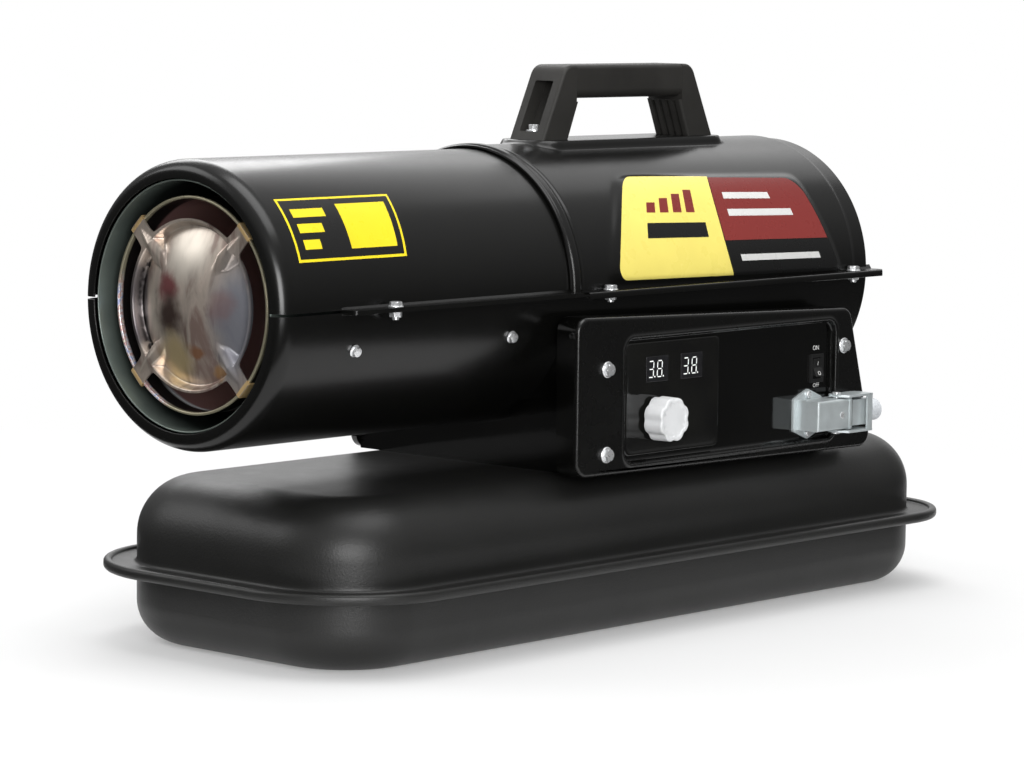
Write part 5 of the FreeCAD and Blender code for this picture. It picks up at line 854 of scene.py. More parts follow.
class HEATER_OT_tank(bpy.types.Operator):
    """Build the two pressed halves of the fuel tank and their folded rim"""

    bl_idname = "heater.tank"
    bl_label = "Fuel tank"

    def execute(self, context):
        tank = in_mm(context.scene.heater_tank)
        web = tank.overhang - tank.fillet
        inner = tank.overhang + tank.sheet
        tank_half(tank, self.upper_profile(tank, web, inner)).made(
            "tank_top", "tank", slot="tank_paint", hides=("tank_upper_shell",), sharp=60.0
        )
        tank_half(tank, self.lower_profile(tank, web, inner)).made(
            "tank_pan", "tank", slot="tank_paint", hides=("tank_lower_pan",), sharp=60.0
        )
        return {"FINISHED"}

    @staticmethod
    def upper_profile(tank, web, inner):
        """Closed section of the upper half, from its top round the rim and back inside."""
        top = tank.height
        seam = tank.seam
        deck = seam + tank.sheet
        half = tank.rim_height / 2
        flat = tank.overhang + tank.shoulder
        turn = (flat, top - tank.shoulder)
        hem = rounded(
            [(tank.fold, seam + half), (0.0, seam + half), (0.0, seam - half), (tank.fold, seam - half)],
            [2.2, 3.0, 3.0, 2.2], 5,
        )
        return np.vstack([
            [(flat + TANK_FLAT, top), (flat + 1.0, top)],
            arc(turn, tank.shoulder, 90, 180, 18),
            [(tank.overhang, deck + tank.fillet + 2.0)],
            arc((web, deck + tank.fillet), tank.fillet, 0, -90, 5),
            [(tank.fold + 2.0, deck)],
            arc((tank.fold + 1.0, deck + 1.0), 1.0, -90, -180, 3),
            hem,
            [(tank.fold, seam), (inner, seam), (inner, turn[1])],
            arc(turn, tank.shoulder - tank.sheet, 180, 90, 10),
            [(flat + TANK_FLAT, top - tank.sheet)],
        ])

    @staticmethod
    def lower_profile(tank, web, inner):
        """Closed section of the lower half, from its bottom out to the rim and back inside."""
        deck = tank.seam - tank.sheet
        flat = tank.overhang + tank.foot
        turn = (flat, tank.foot)
        hem = tank.fold + 0.2
        seam = tank.seam - 0.1
        return np.vstack([
            [(flat + TANK_FLAT, 0.0), (flat + 1.0, 0.0)],
            arc(turn, tank.foot, -90, -180, 16),
            [(tank.overhang, deck - tank.fillet - 2.0)],
            arc((web, deck - tank.fillet), tank.fillet, 0, 90, 5),
            [(hem, deck), (hem, seam), (inner, seam)],
            arc(turn, tank.foot - tank.sheet, -180, -90, 10),
            [(flat + TANK_FLAT, tank.sheet)],
        ])


# Heater tube


def lip_profile(tube, rear):
    """Closed section of a shell: straight wall, rolled lip, flat annulus, and the same inside.

    The section is rounded on circles and then drawn out along the axis, so that the lip's roll
    is a quarter ellipse.
    """
    r = TUBE_RADIUS
    s = tube.sheet
    drawn = 1.45
    corners = [(rear, r), (tube.front, r), (tube.front, tube.outlet)]
    corners += [(tube.front + s, tube.outlet), (tube.front + s, r - s), (rear, r - s)]
    short = [(tube.front + (x - tube.front) / drawn, y) for x, y in corners]
    section = rounded(short, [0.2, tube.lip, 0.4, 0.4, tube.lip - s, 0.2], 14)
    return np.column_stack([tube.front + (section[:, 0] - tube.front) * drawn, section[:, 1]])


def seam_strip(shape, tube, front, rear, rise, rounding):
    """Seam flange on both sides: a flat strip with a soft bend up to the shell, round at its ends.

    Its section is a strip of sheet with a bend against the shell. The section is carried along X,
    and near each end its edge draws in on a quarter circle.
    """
    ends = np.linspace(0.0, 1.0, 9)
    near_front = front + rounding[0] * ends ** 2
    near_rear = rear - rounding[1] * ends[::-1] ** 2
    middle = np.linspace(near_front[-1], near_rear[0], 30)
    x = np.unique(np.concatenate([near_front, middle, near_rear]))
    edge = np.full_like(x, tube.flange_edge)
    for place, radius in ((x - front, rounding[0]), (rear - x, rounding[1])):
        left = np.clip(radius - place, 0.0, radius)
        edge -= radius - np.sqrt(radius ** 2 - left ** 2)
    s = tube.sheet
    bend, flange = 3.0, 16.0
    share, height = np.array([(0.0, 0.0), (1.0, 0.0), (1.0, s), (bend / flange, s), (0.0, s + bend)]).T
    inner = TUBE_RADIUS - s
    for side in (-1.0, 1.0):
        y = inner + (edge[:, None] - inner) * share[None, :]
        points = np.broadcast_arrays(x[:, None], side * y, AXIS + rise * height[None, :])
        shape.grid(np.stack(points, -1), wrap=True, caps=True)


def seam_lip(shape, tube, front, rear):
    """Edge of the rear flange on both sides, turned down: a rounded L carried along X."""
    edge = tube.flange_edge
    s = tube.sheet
    section = rounded(
        [(edge - 2.0, AXIS + 0.1), (edge + 0.1, AXIS + 0.1), (edge + 0.1, AXIS - 3.5),
         (edge + 0.1 + s, AXIS - 3.5), (edge + 0.1 + s, AXIS + s), (edge - 2.0, AXIS + s)],
        [0.2, 0.2, 0.5, 0.5, 1.4, 0.2], 6,
    )
    x = np.linspace(front, rear, 12)[:, None]
    y, z = section.T[:, None]
    for side in (-1.0, 1.0):
        shape.grid(np.stack(np.broadcast_arrays(x, side * y, z), -1), wrap=True, caps=True)


class HEATER_OT_tube(bpy.types.Operator):
    """Build the lower trough and the front upper shell with their flanges and rolled lip"""

    bl_idname = "heater.tube"
    bl_label = "Heater tube"

    def execute(self, context):
        tube = in_mm(context.scene.heater_tube)
        slit = math.asin(tube.seam_gap / 2 / TUBE_RADIUS)
        quarter = math.pi / 2
        angles = np.linspace(quarter + slit, 3 * quarter - slit, 121)
        trough = Shape().grid(turned(lip_profile(tube, tube.rear), angles), wrap=True, caps=True)
        seam_strip(trough, tube, tube.flange_front, tube.flange_rear, -1.0, (4.0, 5.0))
        trough.made("lower_trough", "shell", slot="shell_paint", hides=("lower_shell",), bevel=0.35)
        angles = np.linspace(-quarter + slit, quarter - slit, 121)
        section = lip_profile(tube, tube.rear_front + tube.lap)
        roof = Shape().grid(turned(section, angles), wrap=True, caps=True)
        seam_strip(roof, tube, tube.flange_front, tube.notch - 3.0, 1.0, (4.0, 2.0))
        roof.made("front_roof", "shell", slot="shell_paint", hides=("front_upper_shell",), bevel=0.35)
        return {"FINISHED"}


# Upright lines of the side pad at its left end, its colour border and its right end. Each is a
# parabola in the share of the height, given by its level, slope and curve.
PAD_SIDES = np.array([(-31.5, 11.3, 34.9), (101.8, -33.7, 40.2), (232.6, -42.3, 20.6)])
PAD_SHARES = (0.0, 0.505, 1.0)

# How far the pad stands out past its print, and how steep its slope is: left, right, low, top
PAD_MARGINS = (13.0, 9.0, 4.0, 5.5)
PAD_SLOPES = (0.55, 0.8, 1.0, 1.0)
PAD_SOFTNESS = 3.5

# Flat seat under the handle: half its length and width, its corners and the slope round it
PLATEAU_MIDDLE = HANDLE_LOW[0] / 2 + HANDLE_HIGH[0] / 2
PLATEAU_HALF = (HANDLE_HIGH[0] - PLATEAU_MIDDLE + 4.0, 26.0)
PLATEAU_CORNER = 14.0
PLATEAU_REACH = 5.0
PLATEAU_SLOPE = 5.5


def pad_level(share, upright):
    """Angle from straight up of a place on the pad, from its shares of the width and height.

    The pad starts a few degrees above the seam and is about 45 degrees high. Both angles shrink
    evenly across its width.
    """
    seam = 90.0
    low = 3.9 - 2.5 * share
    high = 46.1 - 2.7 * share
    return np.radians(seam - low - high * upright)


def pad_inside(x, angle):
    """How far a place lies inside the side pad, rounded at its corners.

    It is the soft minimum of the distances to the pad's two curved ends and its level sides,
    and a lower slope draws the distance to an end out.
    """
    share = np.clip((x - PAD_SIDES[0, 0]) / (PAD_SIDES[2, 0] - PAD_SIDES[0, 0]), 0.0, 1.0)
    top = pad_level(share, 1.0)
    low = pad_level(share, 0.0)
    upright = (low - angle) / (low - top)
    powers = np.stack([upright ** 0, upright, upright ** 2], -1)
    gaps = (x - powers @ PAD_SIDES[0], powers @ PAD_SIDES[2] - x)
    gaps += ((low - angle) * TUBE_RADIUS, (angle - top) * TUBE_RADIUS)
    rows = zip(gaps, PAD_MARGINS, PAD_SLOPES)
    total = sum(np.exp(-(gap + margin) * slope / PAD_SOFTNESS) for gap, margin, slope in rows)
    return -PAD_SOFTNESS * np.log(total)


def rear_skin(tube, x, angle):
    """Radius of the rear shell at a place and an angle.

    A plain cylinder, plus a bead near its front edge and a narrow groove behind it, less a step
    at its rear end, plus the side pad inside its outline, blended into a flat seat under the
    handle.
    """
    into = x - tube.rear_front
    bead = smooth((into - 0.6) / 2.6) * smooth((tube.bead_width - into) / 4.5)
    groove = np.exp(-((into - tube.bead_width - 1.1) / 1.5) ** 2)
    step = smooth((x - tube.step) / 6.0)
    near = np.clip(angle, 0.0, math.pi / 2)
    pad = smooth(pad_inside(x, near) / tube.pad_slope) * (angle > 0.0)
    radius = tube.rear_radius + tube.bead_height * bead - tube.groove * groove
    radius = radius - (tube.rear_radius - TUBE_RADIUS) * step + tube.pad_height * pad
    across = np.abs(radius * np.sin(angle))
    over = np.stack(np.broadcast_arrays(np.abs(x - PLATEAU_MIDDLE), across), -1)
    over = over - (np.array(PLATEAU_HALF) - PLATEAU_CORNER)
    gap = np.linalg.norm(np.maximum(over, 0.0), axis=-1) + np.minimum(over.max(-1), 0.0) - PLATEAU_CORNER
    seat = (tube.plateau_top - AXIS) / np.maximum(np.cos(angle), 0.5)
    return radius + (seat - radius) * smooth((PLATEAU_REACH - gap) / PLATEAU_SLOPE)


def on_rear(tube, x, angle, rise):
    """Points on the rear shell, raised by a distance."""
    radius = rear_skin(tube, x, angle) + rise
    return np.stack([x + 0.0 * angle, -radius * np.sin(angle), AXIS + radius * np.cos(angle)], -1)


class HEATER_OT_rear_shell(bpy.types.Operator):
    """Build the rear upper shell with its bead, step, side pad and handle seat"""

    bl_idname = "heater.rear_shell"
    bl_label = "Rear shell"

    def execute(self, context):
        tube = in_mm(context.scene.heater_tube)
        front = tube.rear_front
        bead = (front, front + 18.0, 37)
        x = lines(bead, (front + 19.0, 22.0, 84), (24.0, 200.0, 89), (201.5, tube.rear, 56))
        angle = np.radians(lines((-89.4, -23.0, 22), (-20.0, 20.0, 76), (21.2, 80.0, 40), (80.6, 89.4, 18)))
        place = (x[:, None], angle[None, :])
        skin = Shape().slab(on_rear(tube, *place, 0.0), on_rear(tube, *place, -tube.sheet))
        seam_strip(skin, tube, tube.notch, tube.flange_rear, 1.0, (2.0, 5.0))
        seam_lip(skin, tube, tube.notch, tube.flange_rear - 5.0)
        skin.made("rear_roof", "shell", slot="shell_paint", hides=("rear_upper_shell",))
        return {"FINISHED"}


# Distance that keeps the back of a print off the paint under it
PRINT_GAP = 0.02


# Width share of a patch's rounded corner for each unit of its height share
CORNER_WIDTH = 0.32


def pad_patch(tube, across, up, rise, corners=(), rows=40, columns=48):
    """Thin printed patch on the side pad, between two shares of its width and of its height.

    The print's upright lines are parabolas in the height share, blended from the left edge to
    the right edge, and its level lines fall slightly towards the rear. Corner shares round the
    corners off on quarter ellipses: lower left, upper left, lower right and upper right.
    """
    turn = np.linspace(0.0, math.pi, rows)[:, None]
    v = up[0] + (up[1] - up[0]) * (0.5 - 0.5 * np.cos(turn))
    start = across[0] + 0.0 * v
    end = across[1] + 0.0 * v
    gaps = (v - up[0], up[1] - v)
    for index, share in enumerate(corners):
        if share:
            left = np.clip(1.0 - gaps[index % 2] / share, 0.0, 1.0)
            drawn = CORNER_WIDTH * share * (1.0 - np.sqrt(1.0 - left ** 2))
            if index < 2:
                start = start + drawn
            else:
                end = end - drawn
    u = start + (end - start) * np.linspace(0.0, 1.0, columns)[None, :]
    level, slope, curve = (np.interp(u, PAD_SHARES, column) for column in PAD_SIDES.T)
    x = level + slope * v + curve * v ** 2
    angle = pad_level(u, v)
    return on_rear(tube, x, angle, rise), on_rear(tube, x, angle, PRINT_GAP)


def front_patch(left, right, angles, rise, rows=16, columns=40):
    """Thin printed patch on the front shell: two slanted sides, and two angles above the seam."""
    share = np.linspace(0.0, 1.0, rows)[:, None]
    angle = np.radians(90.0 - (angles[0] + (angles[1] - angles[0]) * share))
    start = left[0] + (left[1] - left[0]) * share
    end = right[0] + (right[1] - right[0]) * share
    x = start + (end - start) * np.linspace(0.0, 1.0, columns)[None, :]
    skins = []
    for radius in (TUBE_RADIUS + rise, TUBE_RADIUS + PRINT_GAP):
        place = np.broadcast_arrays(x, -radius * np.sin(angle), AXIS + radius * np.cos(angle))
        skins.append(np.stack(place, -1))
    return skins


class HEATER_OT_prints(bpy.types.Operator):
    """Print plain colour blocks on the side pad and a plain plate on the front shell"""

    bl_idname = "heater.prints"
    bl_label = "Printed blocks"

    def execute(self, context):
        tube = in_mm(context.scene.heater_tube)
        # Finish, rise and corner shares of each block, and its patches as shares across and up
        blocks = {
            "pad_yellow_block": ("yellow", 0.16, (0.13, 0.13), [((0.0, 0.505), (0.0, 1.0))]),
            "pad_red_block": ("red", 0.16, (0.0, 0.0, 0.0, 0.2), [((0.509, 1.0), (0.325, 0.985))]),
            "pad_black_block": ("black", 0.16, (), [((0.509, 1.0), (0.0, 0.318))]),
            "pad_lines": ("white_print", 0.3, (), [
                ((0.56, 0.80), (0.74, 0.81)),
                ((0.56, 0.88), (0.56, 0.63)),
                ((0.56, 0.93), (0.13, 0.19)),
            ]),
            "pad_rays": ("red", 0.3, (), [
                ((0.13 + 0.07 * step, 0.175 + 0.07 * step), (0.60, 0.70 + 0.045 * step)) for step in range(4)
            ]),
            "pad_name_bar": ("black", 0.3, (), [((0.13, 0.43), (0.36, 0.50))]),
        }
        for name, (finish, rise, corners, patches) in blocks.items():
            shape = Shape()
            for across, up in patches:
                shape.slab(*pad_patch(tube, across, up, rise, corners))
            shape.made(name, finish, slot="shell_paint")
        # Finish and rise of each plate, and its patches as left side, right side and angles
        plates = {
            "front_plate": ("label", 0.12, [((-349.0, -346.5), (-244.8, -236.8), (20.0, 48.6))]),
            "front_field": ("black", 0.22, [((-347.0, -344.6), (-246.8, -239.0), (21.1, 47.5))]),
            "front_marks": ("label", 0.32, [
                ((-296.0, -293.5), (-251.5, -245.5), (24.4, 44.6)),
                ((-339.0, -338.6), (-308.0, -307.4), (39.0, 43.0)),
                ((-339.4, -339.0), (-316.0, -315.6), (32.0, 36.0)),
                ((-339.8, -339.4), (-324.0, -323.6), (25.0, 29.0)),
            ]),
        }
        for name, (finish, rise, patches) in plates.items():
            shape = Shape()
            for left, right, angles in patches:
                shape.slab(*front_patch(left, right, angles, rise))
            shape.made(name, finish, slot="shell_paint")
        return {"FINISHED"}


# Burner


class HEATER_OT_burner(bpy.types.Operator):
    """Build the liner, the flame tube and the domed baffle with its ribbed arms and tabs"""

    bl_idname = "heater.burner"
    bl_label = "Outlet and burner"

    def execute(self, context):
        burner = in_mm(context.scene.heater_burner)
        turn = np.arange(180) * 2 * math.pi / 180
        r = burner.liner
        s = burner.liner_sheet
        ends = (LINER_LOW[0], LINER_HIGH[0])
        wall = rounded([(ends[0], r), (ends[1], r), (ends[1], r - s), (ends[0], r - s)], 0.5, 4)
        Shape().grid(turned(wall, turn), wrap=True, ring=True).made(
            "outlet_liner", "liner", slot="liner_steel", hides=("heat_liner",)
        )
        r = burner.flame
        bore = r - burner.flame_sheet
        mouth = FLAME_LOW[0]
        end = FLAME_HIGH[0]
        roll = (mouth + 2.4, r + 1.0)
        wall = rounded(
            [(end, r), (roll[0], r), roll, (mouth, roll[1]), (mouth, bore), (end, bore)],
            [0.3, 0.3, 0.9, 1.0, 0.9, 0.3], 6,
        )
        Shape().grid(turned(wall, turn), wrap=True, ring=True).made(
            "flame_tube_finish", "flame", slot="heat_steel", hides=("flame_tube",)
        )
        self.baffle(burner, mouth)
        self.tabs(burner, mouth)
        return {"FINISHED"}

    @staticmethod
    def baffle(burner, mouth):
        """Baffle: depth as a function of radius and angle.

        Inside the dome radius the sheet bulges on a parabola, then it turns forward to the flat
        front of its rim. The edge runs out along four diagonal arms with rounded roots. On each
        arm lies a roof-shaped dart: it starts on the dome, bridges the hollow, is highest at
        the rim and runs out in a point before the tab.
        """
        turn = np.arange(400) * 2 * math.pi / 400
        off = np.abs((turn % (math.pi / 2)) - math.pi / 4)
        side = burner.arm / np.maximum(np.sin(off), 1e-3)
        edge = (burner.disc + side + np.sqrt((side - burner.disc) ** 2 + burner.fillet ** 2)) / 2
        edge = np.minimum(edge, (burner.flame + 2.3) / np.cos(off))
        edge = np.where(edge < burner.disc + 0.3, burner.disc, edge)
        inner = lines((0.0, 40.0, 16), (41.0, 54.0, 14), (54.4, burner.disc, 22))
        outer = burner.disc + (edge[None, :] - burner.disc) * np.linspace(0.05, 1.0, 22)[:, None]
        radius = np.concatenate([np.broadcast_to(inner[:, None], (len(inner), len(turn))), outer])
        across = radius * np.sin(off)[None, :]
        front = mouth - burner.sheet
        floor = front + burner.rim
        dome = floor - burner.bulge * np.clip(1.0 - (radius / burner.dome) ** 2, 0.0, 1.0)
        turn_start, turn_width = burner.dome + 0.5, 3.9
        sheet = dome - burner.rim * smooth((radius - turn_start) / turn_width)
        stations = (36.0, 45.0, 57.0, burner.flame - 4.5)
        heights = (0.3, 1.0, burner.rib, 0.1)
        ridge = front - np.interp(radius, stations, heights)
        half = np.interp(radius, stations, (2.0, 5.6, 4.6, 0.4))
        blunt = np.sqrt(across ** 2 + 0.8) - 0.9
        rib = ridge + (front - ridge + 0.2) / half * blunt + np.maximum(across - half, 0.0) * 1.6
        rib = np.where((radius > stations[0]) & (radius < stations[-1]), rib, sheet + 99.0)
        near = np.maximum(1.0 - np.abs(sheet - rib) / 1.2, 0.0)
        depth = np.minimum(sheet, rib) - 0.3 * near ** 2
        skin = np.stack([depth, -radius * np.sin(turn)[None, :], AXIS + radius * np.cos(turn)[None, :]], -1)
        back = skin + np.array([burner.sheet, 0.0, 0.0])
        Shape().grid(np.concatenate([skin, back[::-1]]), wrap=True).made(
            "baffle", "tint", slot="heat_steel", hides=("flame_baffle",), sharp=50.0
        )

    @staticmethod
    def tabs(burner, mouth):
        """Four hooked tabs: an L of sheet over the flame tube's mouth, carried across each arm."""
        s = burner.sheet
        hook = burner.flame + 1.3
        low = hook - 2.2
        front = mouth - s - 0.25
        under = mouth - 0.1
        end = mouth + 10.0
        section = rounded(
            [(front, low), (front, hook + s), (end, hook + s), (end, hook), (under, hook), (under, low)],
            [0.1, 1.3, 0.3, 0.3, 0.2, 0.1], 4,
        )
        wide = burner.arm + 0.2
        across = np.linspace(-wide, wide, 15)[:, None]
        shape = Shape()
        for turn in math.pi * (np.arange(4) + 0.5) / 2:
            x, out = section.T[:, None]
            y = across * math.cos(turn) - out * math.sin(turn)
            z = AXIS + across * math.sin(turn) + out * math.cos(turn)
            shape.grid(np.stack(np.broadcast_arrays(x, y, z), -1), wrap=True, caps=True)
        shape.made("baffle_tabs", "tab", slot="heat_steel")


# Covers and controls


# Corners of the covers and of the recess, in X and Z
COVER_CORNERS = np.array([(-102.5, 236.7), (218.0, 226.8), (249.0, 116.5), (-102.5, 120.5)])
FAR_CORNERS = np.maximum(COVER_CORNERS, [(-87.0, 0.0)])
RECESS = np.array([(-50.0, 218.0), (199.6, 218.0), (199.6, 127.0), (-50.0, 127.0)])


def cover_outline(distance, radius, corners=COVER_CORNERS):
    """A cover's outline in X and Z, drawn in by a distance."""
    return rounded(inset(corners, distance), max(radius - distance, 1.0), 10, 12)


def recess_outline(grow, radius):
    """The recess outline in X and Z, grown by a distance."""
    return rounded(inset(RECESS, -grow), radius + grow, 10, 12)


def stacked(rings):
    """Rings of (outline, depth) as a grid of points facing the control side."""
    return np.stack([np.insert(outline, 1, depth, axis=1) for outline, depth in rings])


class HEATER_OT_covers(bpy.types.Operator):
    """Build the control cover with its pressed recess, and the plain cover on the far side"""

    bl_idname = "heater.covers"
    bl_label = "Side covers"

    def execute(self, context):
        panel = in_mm(context.scene.heater_panel)
        self.control_tray(panel)
        self.far_tray(SimpleNamespace(**{**vars(panel), "depth": span("side_cover")[1][1]}))
        return {"FINISHED"}

    @classmethod
    def control_tray(cls, panel):
        """Control cover: its wall, face and recess, then back under the recess and up inside."""
        front = cls.tray(panel, COVER_CORNERS) + cls.recess(panel)
        corner = panel.recess_corner
        floor = -panel.depth + panel.recess_depth + panel.sheet
        under = [(recess_outline(-3.0, corner), floor), (recess_outline(1.6, corner), floor)]
        grid = cls.filled(stacked(front), stacked(under + cls.inside(panel, COVER_CORNERS)))
        Shape().grid(grid, wrap=True, ring=True).made(
            "control_tray", "panel", slot="cover_paint", hides=("control_cover",), sharp=50.0
        )

    @classmethod
    def far_tray(cls, panel):
        """Far cover: a plain tray whose flat face is closed on both sides, turned to +Y."""
        flat = cover_outline(40.0, panel.corner, FAR_CORNERS)
        face = [(flat, -panel.depth), *cls.tray(panel, FAR_CORNERS)[::-1]]
        back = [*cls.inside(panel, FAR_CORNERS)[::-1], (flat, -panel.depth + panel.sheet)]
        grid = stacked(face + back) * np.array([1.0, -1.0, 1.0])
        Shape().grid(grid, wrap=True, caps=True).made(
            "far_tray", "panel", slot="cover_paint", hides=("side_cover",), sharp=50.0
        )

    @staticmethod
    def inside(panel, corners):
        """Inner wall of a tray, from its face down to its open edge."""
        wall = cover_outline(panel.sheet, panel.corner, corners)
        return [(wall, -panel.depth + panel.sheet + 0.5), (wall, -panel.back)]

    @staticmethod
    def tray(panel, corners):
        """Outer wall of a tray: up from its open edge and round onto its face."""
        rings = [(cover_outline(0.0, panel.corner, corners), -panel.back)]
        for turn in np.radians(np.linspace(0.0, 90.0, 7)):
            draw_in = panel.edge * (1 - math.cos(turn))
            depth = -panel.depth + panel.edge * (1 - math.sin(turn))
            rings.append((cover_outline(draw_in, panel.corner, corners), depth))
        rings.append((cover_outline(panel.edge + 1.5, panel.corner, corners), -panel.depth))
        return rings

    @staticmethod
    def recess(panel):
        """Pressed recess: a low bead, half a sine across, then a rounded wall down to the floor."""
        over = np.linspace(0.0, 1.0, 11)
        rows = [(5.0, 0.0), *zip(3.2 - 2.8 * over, -panel.recess_bead * np.sin(math.pi * over))]
        rows += [(0.1, 0.6), (0.0, 1.6), (-0.3, 3.4), (-0.8, 4.4), (-1.7, 4.9), (-3.0, 5.0)]
        rings = []
        for grow, sink in rows:
            depth = min(sink, panel.recess_depth) - panel.depth
            rings.append((recess_outline(grow, panel.recess_corner), depth))
        return rings

    @staticmethod
    def filled(front, behind):
        """Both grids in one, with the recess floor closed by rings that shrink to its middle."""
        shares = np.array([0.7, 0.35, 0.0])[:, None, None]
        middle = front[-1].mean(0)
        centre = behind[0].mean(0)
        down = middle + (front[-1] - middle) * shares
        up = centre + (behind[0] - centre) * shares[::-1]
        return np.concatenate([front, down, up, behind])


def lobed(count, depth, sharpness, fade):
    """Radius scale of a lobed knob: shallow hollows between rounded lobes, fading where told."""
    def scale(reach, turn, along):
        hollow = (0.5 + 0.5 * np.cos(count * turn)) ** sharpness
        return reach - depth * hollow * fade(along) * (reach > depth)
    return scale


# Ends of each stroke of a digit, as shares of its width and height
SEGMENTS = {
    "a": ((0.1, 1.0), (0.9, 1.0)), "b": ((1.0, 0.94), (1.0, 0.56)), "c": ((1.0, 0.44), (1.0, 0.06)),
    "d": ((0.1, 0.0), (0.9, 0.0)), "e": ((0.0, 0.44), (0.0, 0.06)), "f": ((0.0, 0.94), (0.0, 0.56)),
    "g": ((0.1, 0.5), (0.9, 0.5)),
}
DIGITS = {"3": "abgcd", "8": "abcdefg"}


class HEATER_OT_controls(bpy.types.Operator):
    """Build the knob, displays with lit digits, film, switch and its writing"""

    bl_idname = "heater.controls"
    bl_label = "Controls"

    def execute(self, context):
        panel = in_mm(context.scene.heater_panel)
        floor = -panel.depth + panel.recess_depth
        self.knob()
        self.film(floor)
        self.displays()
        dressed("switch_frame", "switch", 0.5)
        dressed("switch_rocker", "switch", 0.5, body="rocker")
        self.writing("switch_on", "ON", (181.0, floor - 0.08, 197.2), 5.0)
        self.writing("switch_off", "OFF", (182.0, floor - 0.08, 168.2), 4.6)
        self.rocker_mark("rocker_on", "I", 185.4)
        self.rocker_mark("rocker_off", "O", 177.8)
        return {"FINISHED"}

    @staticmethod
    def knob():
        """Knob: a spun profile whose side has eight narrow hollows."""
        r = (KNOB_HIGH[0] - KNOB_LOW[0]) / 2
        tall = KNOB_HIGH[1] - KNOB_LOW[1]
        centre = ((KNOB_LOW[0] + KNOB_HIGH[0]) / 2, KNOB_HIGH[1], (KNOB_LOW[2] + KNOB_HIGH[2]) / 2)
        face = tall - 0.6
        profile = np.vstack([
            [(2.0, 0.0), (2.0, 3.2), (0.4, 3.2), (0.0, 3.6), (0.0, r - 1.2)],
            arc((0.7, r - 0.7), 0.7, 180, 90, 4),
            [(tall * 0.3, r - 0.1), (tall * 0.6, r - 0.2)],
            arc((tall - 1.2, r - 1.5), 1.2, 90, 12, 6),
            [(tall, r - 2.4), (tall - 0.1, r - 3.4), (face, r - 4.0), (face, r * 0.5), (face, 0.0)],
        ])
        lobes = lobed(8, 1.5, 1.8, lambda along: smooth((along + 2.0) / 3.0))
        Shape().grid(spun(profile, centre, (0.0, -1.0, 0.0), 160, lobes), wrap=True).made(
            "thermostat_knob", "knob", body="knob", slot="knob_plastic", hides=("control_knob",), sharp=40.0
        )

    @staticmethod
    def film(floor):
        """Glossy film: a plate with a soft raised frame, its rings drawn in towards the middle."""
        low, high = span("panel_film")
        corners = np.array([(low[0], high[2]), (high[0], high[2]), (high[0], low[2]), (low[0], low[2])])
        rows = [(0.0, 0.0), (0.0, -0.3), (0.4, -0.9), (1.2, -1.3)]
        rows += [(2.4, -1.3), (3.4, -0.8), (4.2, -0.6), (12.0, -0.6)]
        rings = [(rounded(inset(corners, draw_in), 5.0, 8, 10), floor + rise) for draw_in, rise in rows]
        Shape().grid(stacked(rings), wrap=True, caps=True).made(
            "control_film", "film", slot="film_plastic", hides=("panel_film",), sharp=60.0
        )

    @staticmethod
    def displays():
        """Digit modules, and lit segments and points laid on their windows."""
        dressed("display_modules", "window", 0.5)
        low, high = span("display_modules")
        face = low[1] - 0.12
        module, pitch = 25.0, 9.6
        tall, wide, stroke, slant = 11.8, 5.2, 0.75, 0.06
        bottom = (low[2] + high[2] - tall) / 2
        point = [(0.0, 0.0), (0.0, 0.6), (0.1, 0.6), (0.1, 0.0)]
        shape = Shape()
        for left in (low[0], high[0] - module):
            for digit, text in enumerate("38"):
                x = left + 2.4 + digit * pitch
                for name in DIGITS[text]:
                    ends = np.array(SEGMENTS[name]) * (wide, tall)
                    ends[:, 0] += ends[:, 1] * slant
                    bar = HEATER_OT_controls.stroke(ends + (x, bottom), stroke, face)
                    shape.grid(bar, wrap=True, caps=True)
                place = (x + wide + 1.7, face, bottom + 0.3)
                shape.grid(spun(point, place, (0, -1, 0), 12), wrap=True)
        shape.made("display_digits", "segment", slot="display_plastic")

    @staticmethod
    def stroke(ends, width, face):
        """Six-sided flat bar between two points of the window, with pointed ends."""
        along = unit(ends[1] - ends[0])
        aside = np.array([-along[1], along[0]]) * width / 2
        tip = along * width * 0.35
        start = ends[0] + tip
        stop = ends[1] - tip
        loop = np.array([start - tip, start - aside, stop - aside, stop + tip, stop + aside, start + aside])
        return stacked([(loop, face), (loop, face + 0.1)])

    @staticmethod
    def rocker_mark(name, text, height):
        """Mark on the rocker, laid on its face where a line along Y meets it."""
        mesh = frame["nodes"]["switch_rocker"].data
        faces = [face.vertices for face in mesh.polygons]
        rocker = BVHTree.FromPolygons([corner.co for corner in mesh.vertices], faces)
        low, high = span("switch_rocker")
        start = Vector(((low[0] + high[0]) / 2, low[1] - 20.0, height)) * MM
        place, normal = rocker.ray_cast(start, Vector((0.0, 1.0, 0.0)))[:2]
        if place is None:
            raise RuntimeError("the rocker has no face at its mark")
        HEATER_OT_controls.writing(name, text, (place + normal * 0.06 * MM) / MM, 4.6, normal, "rocker")

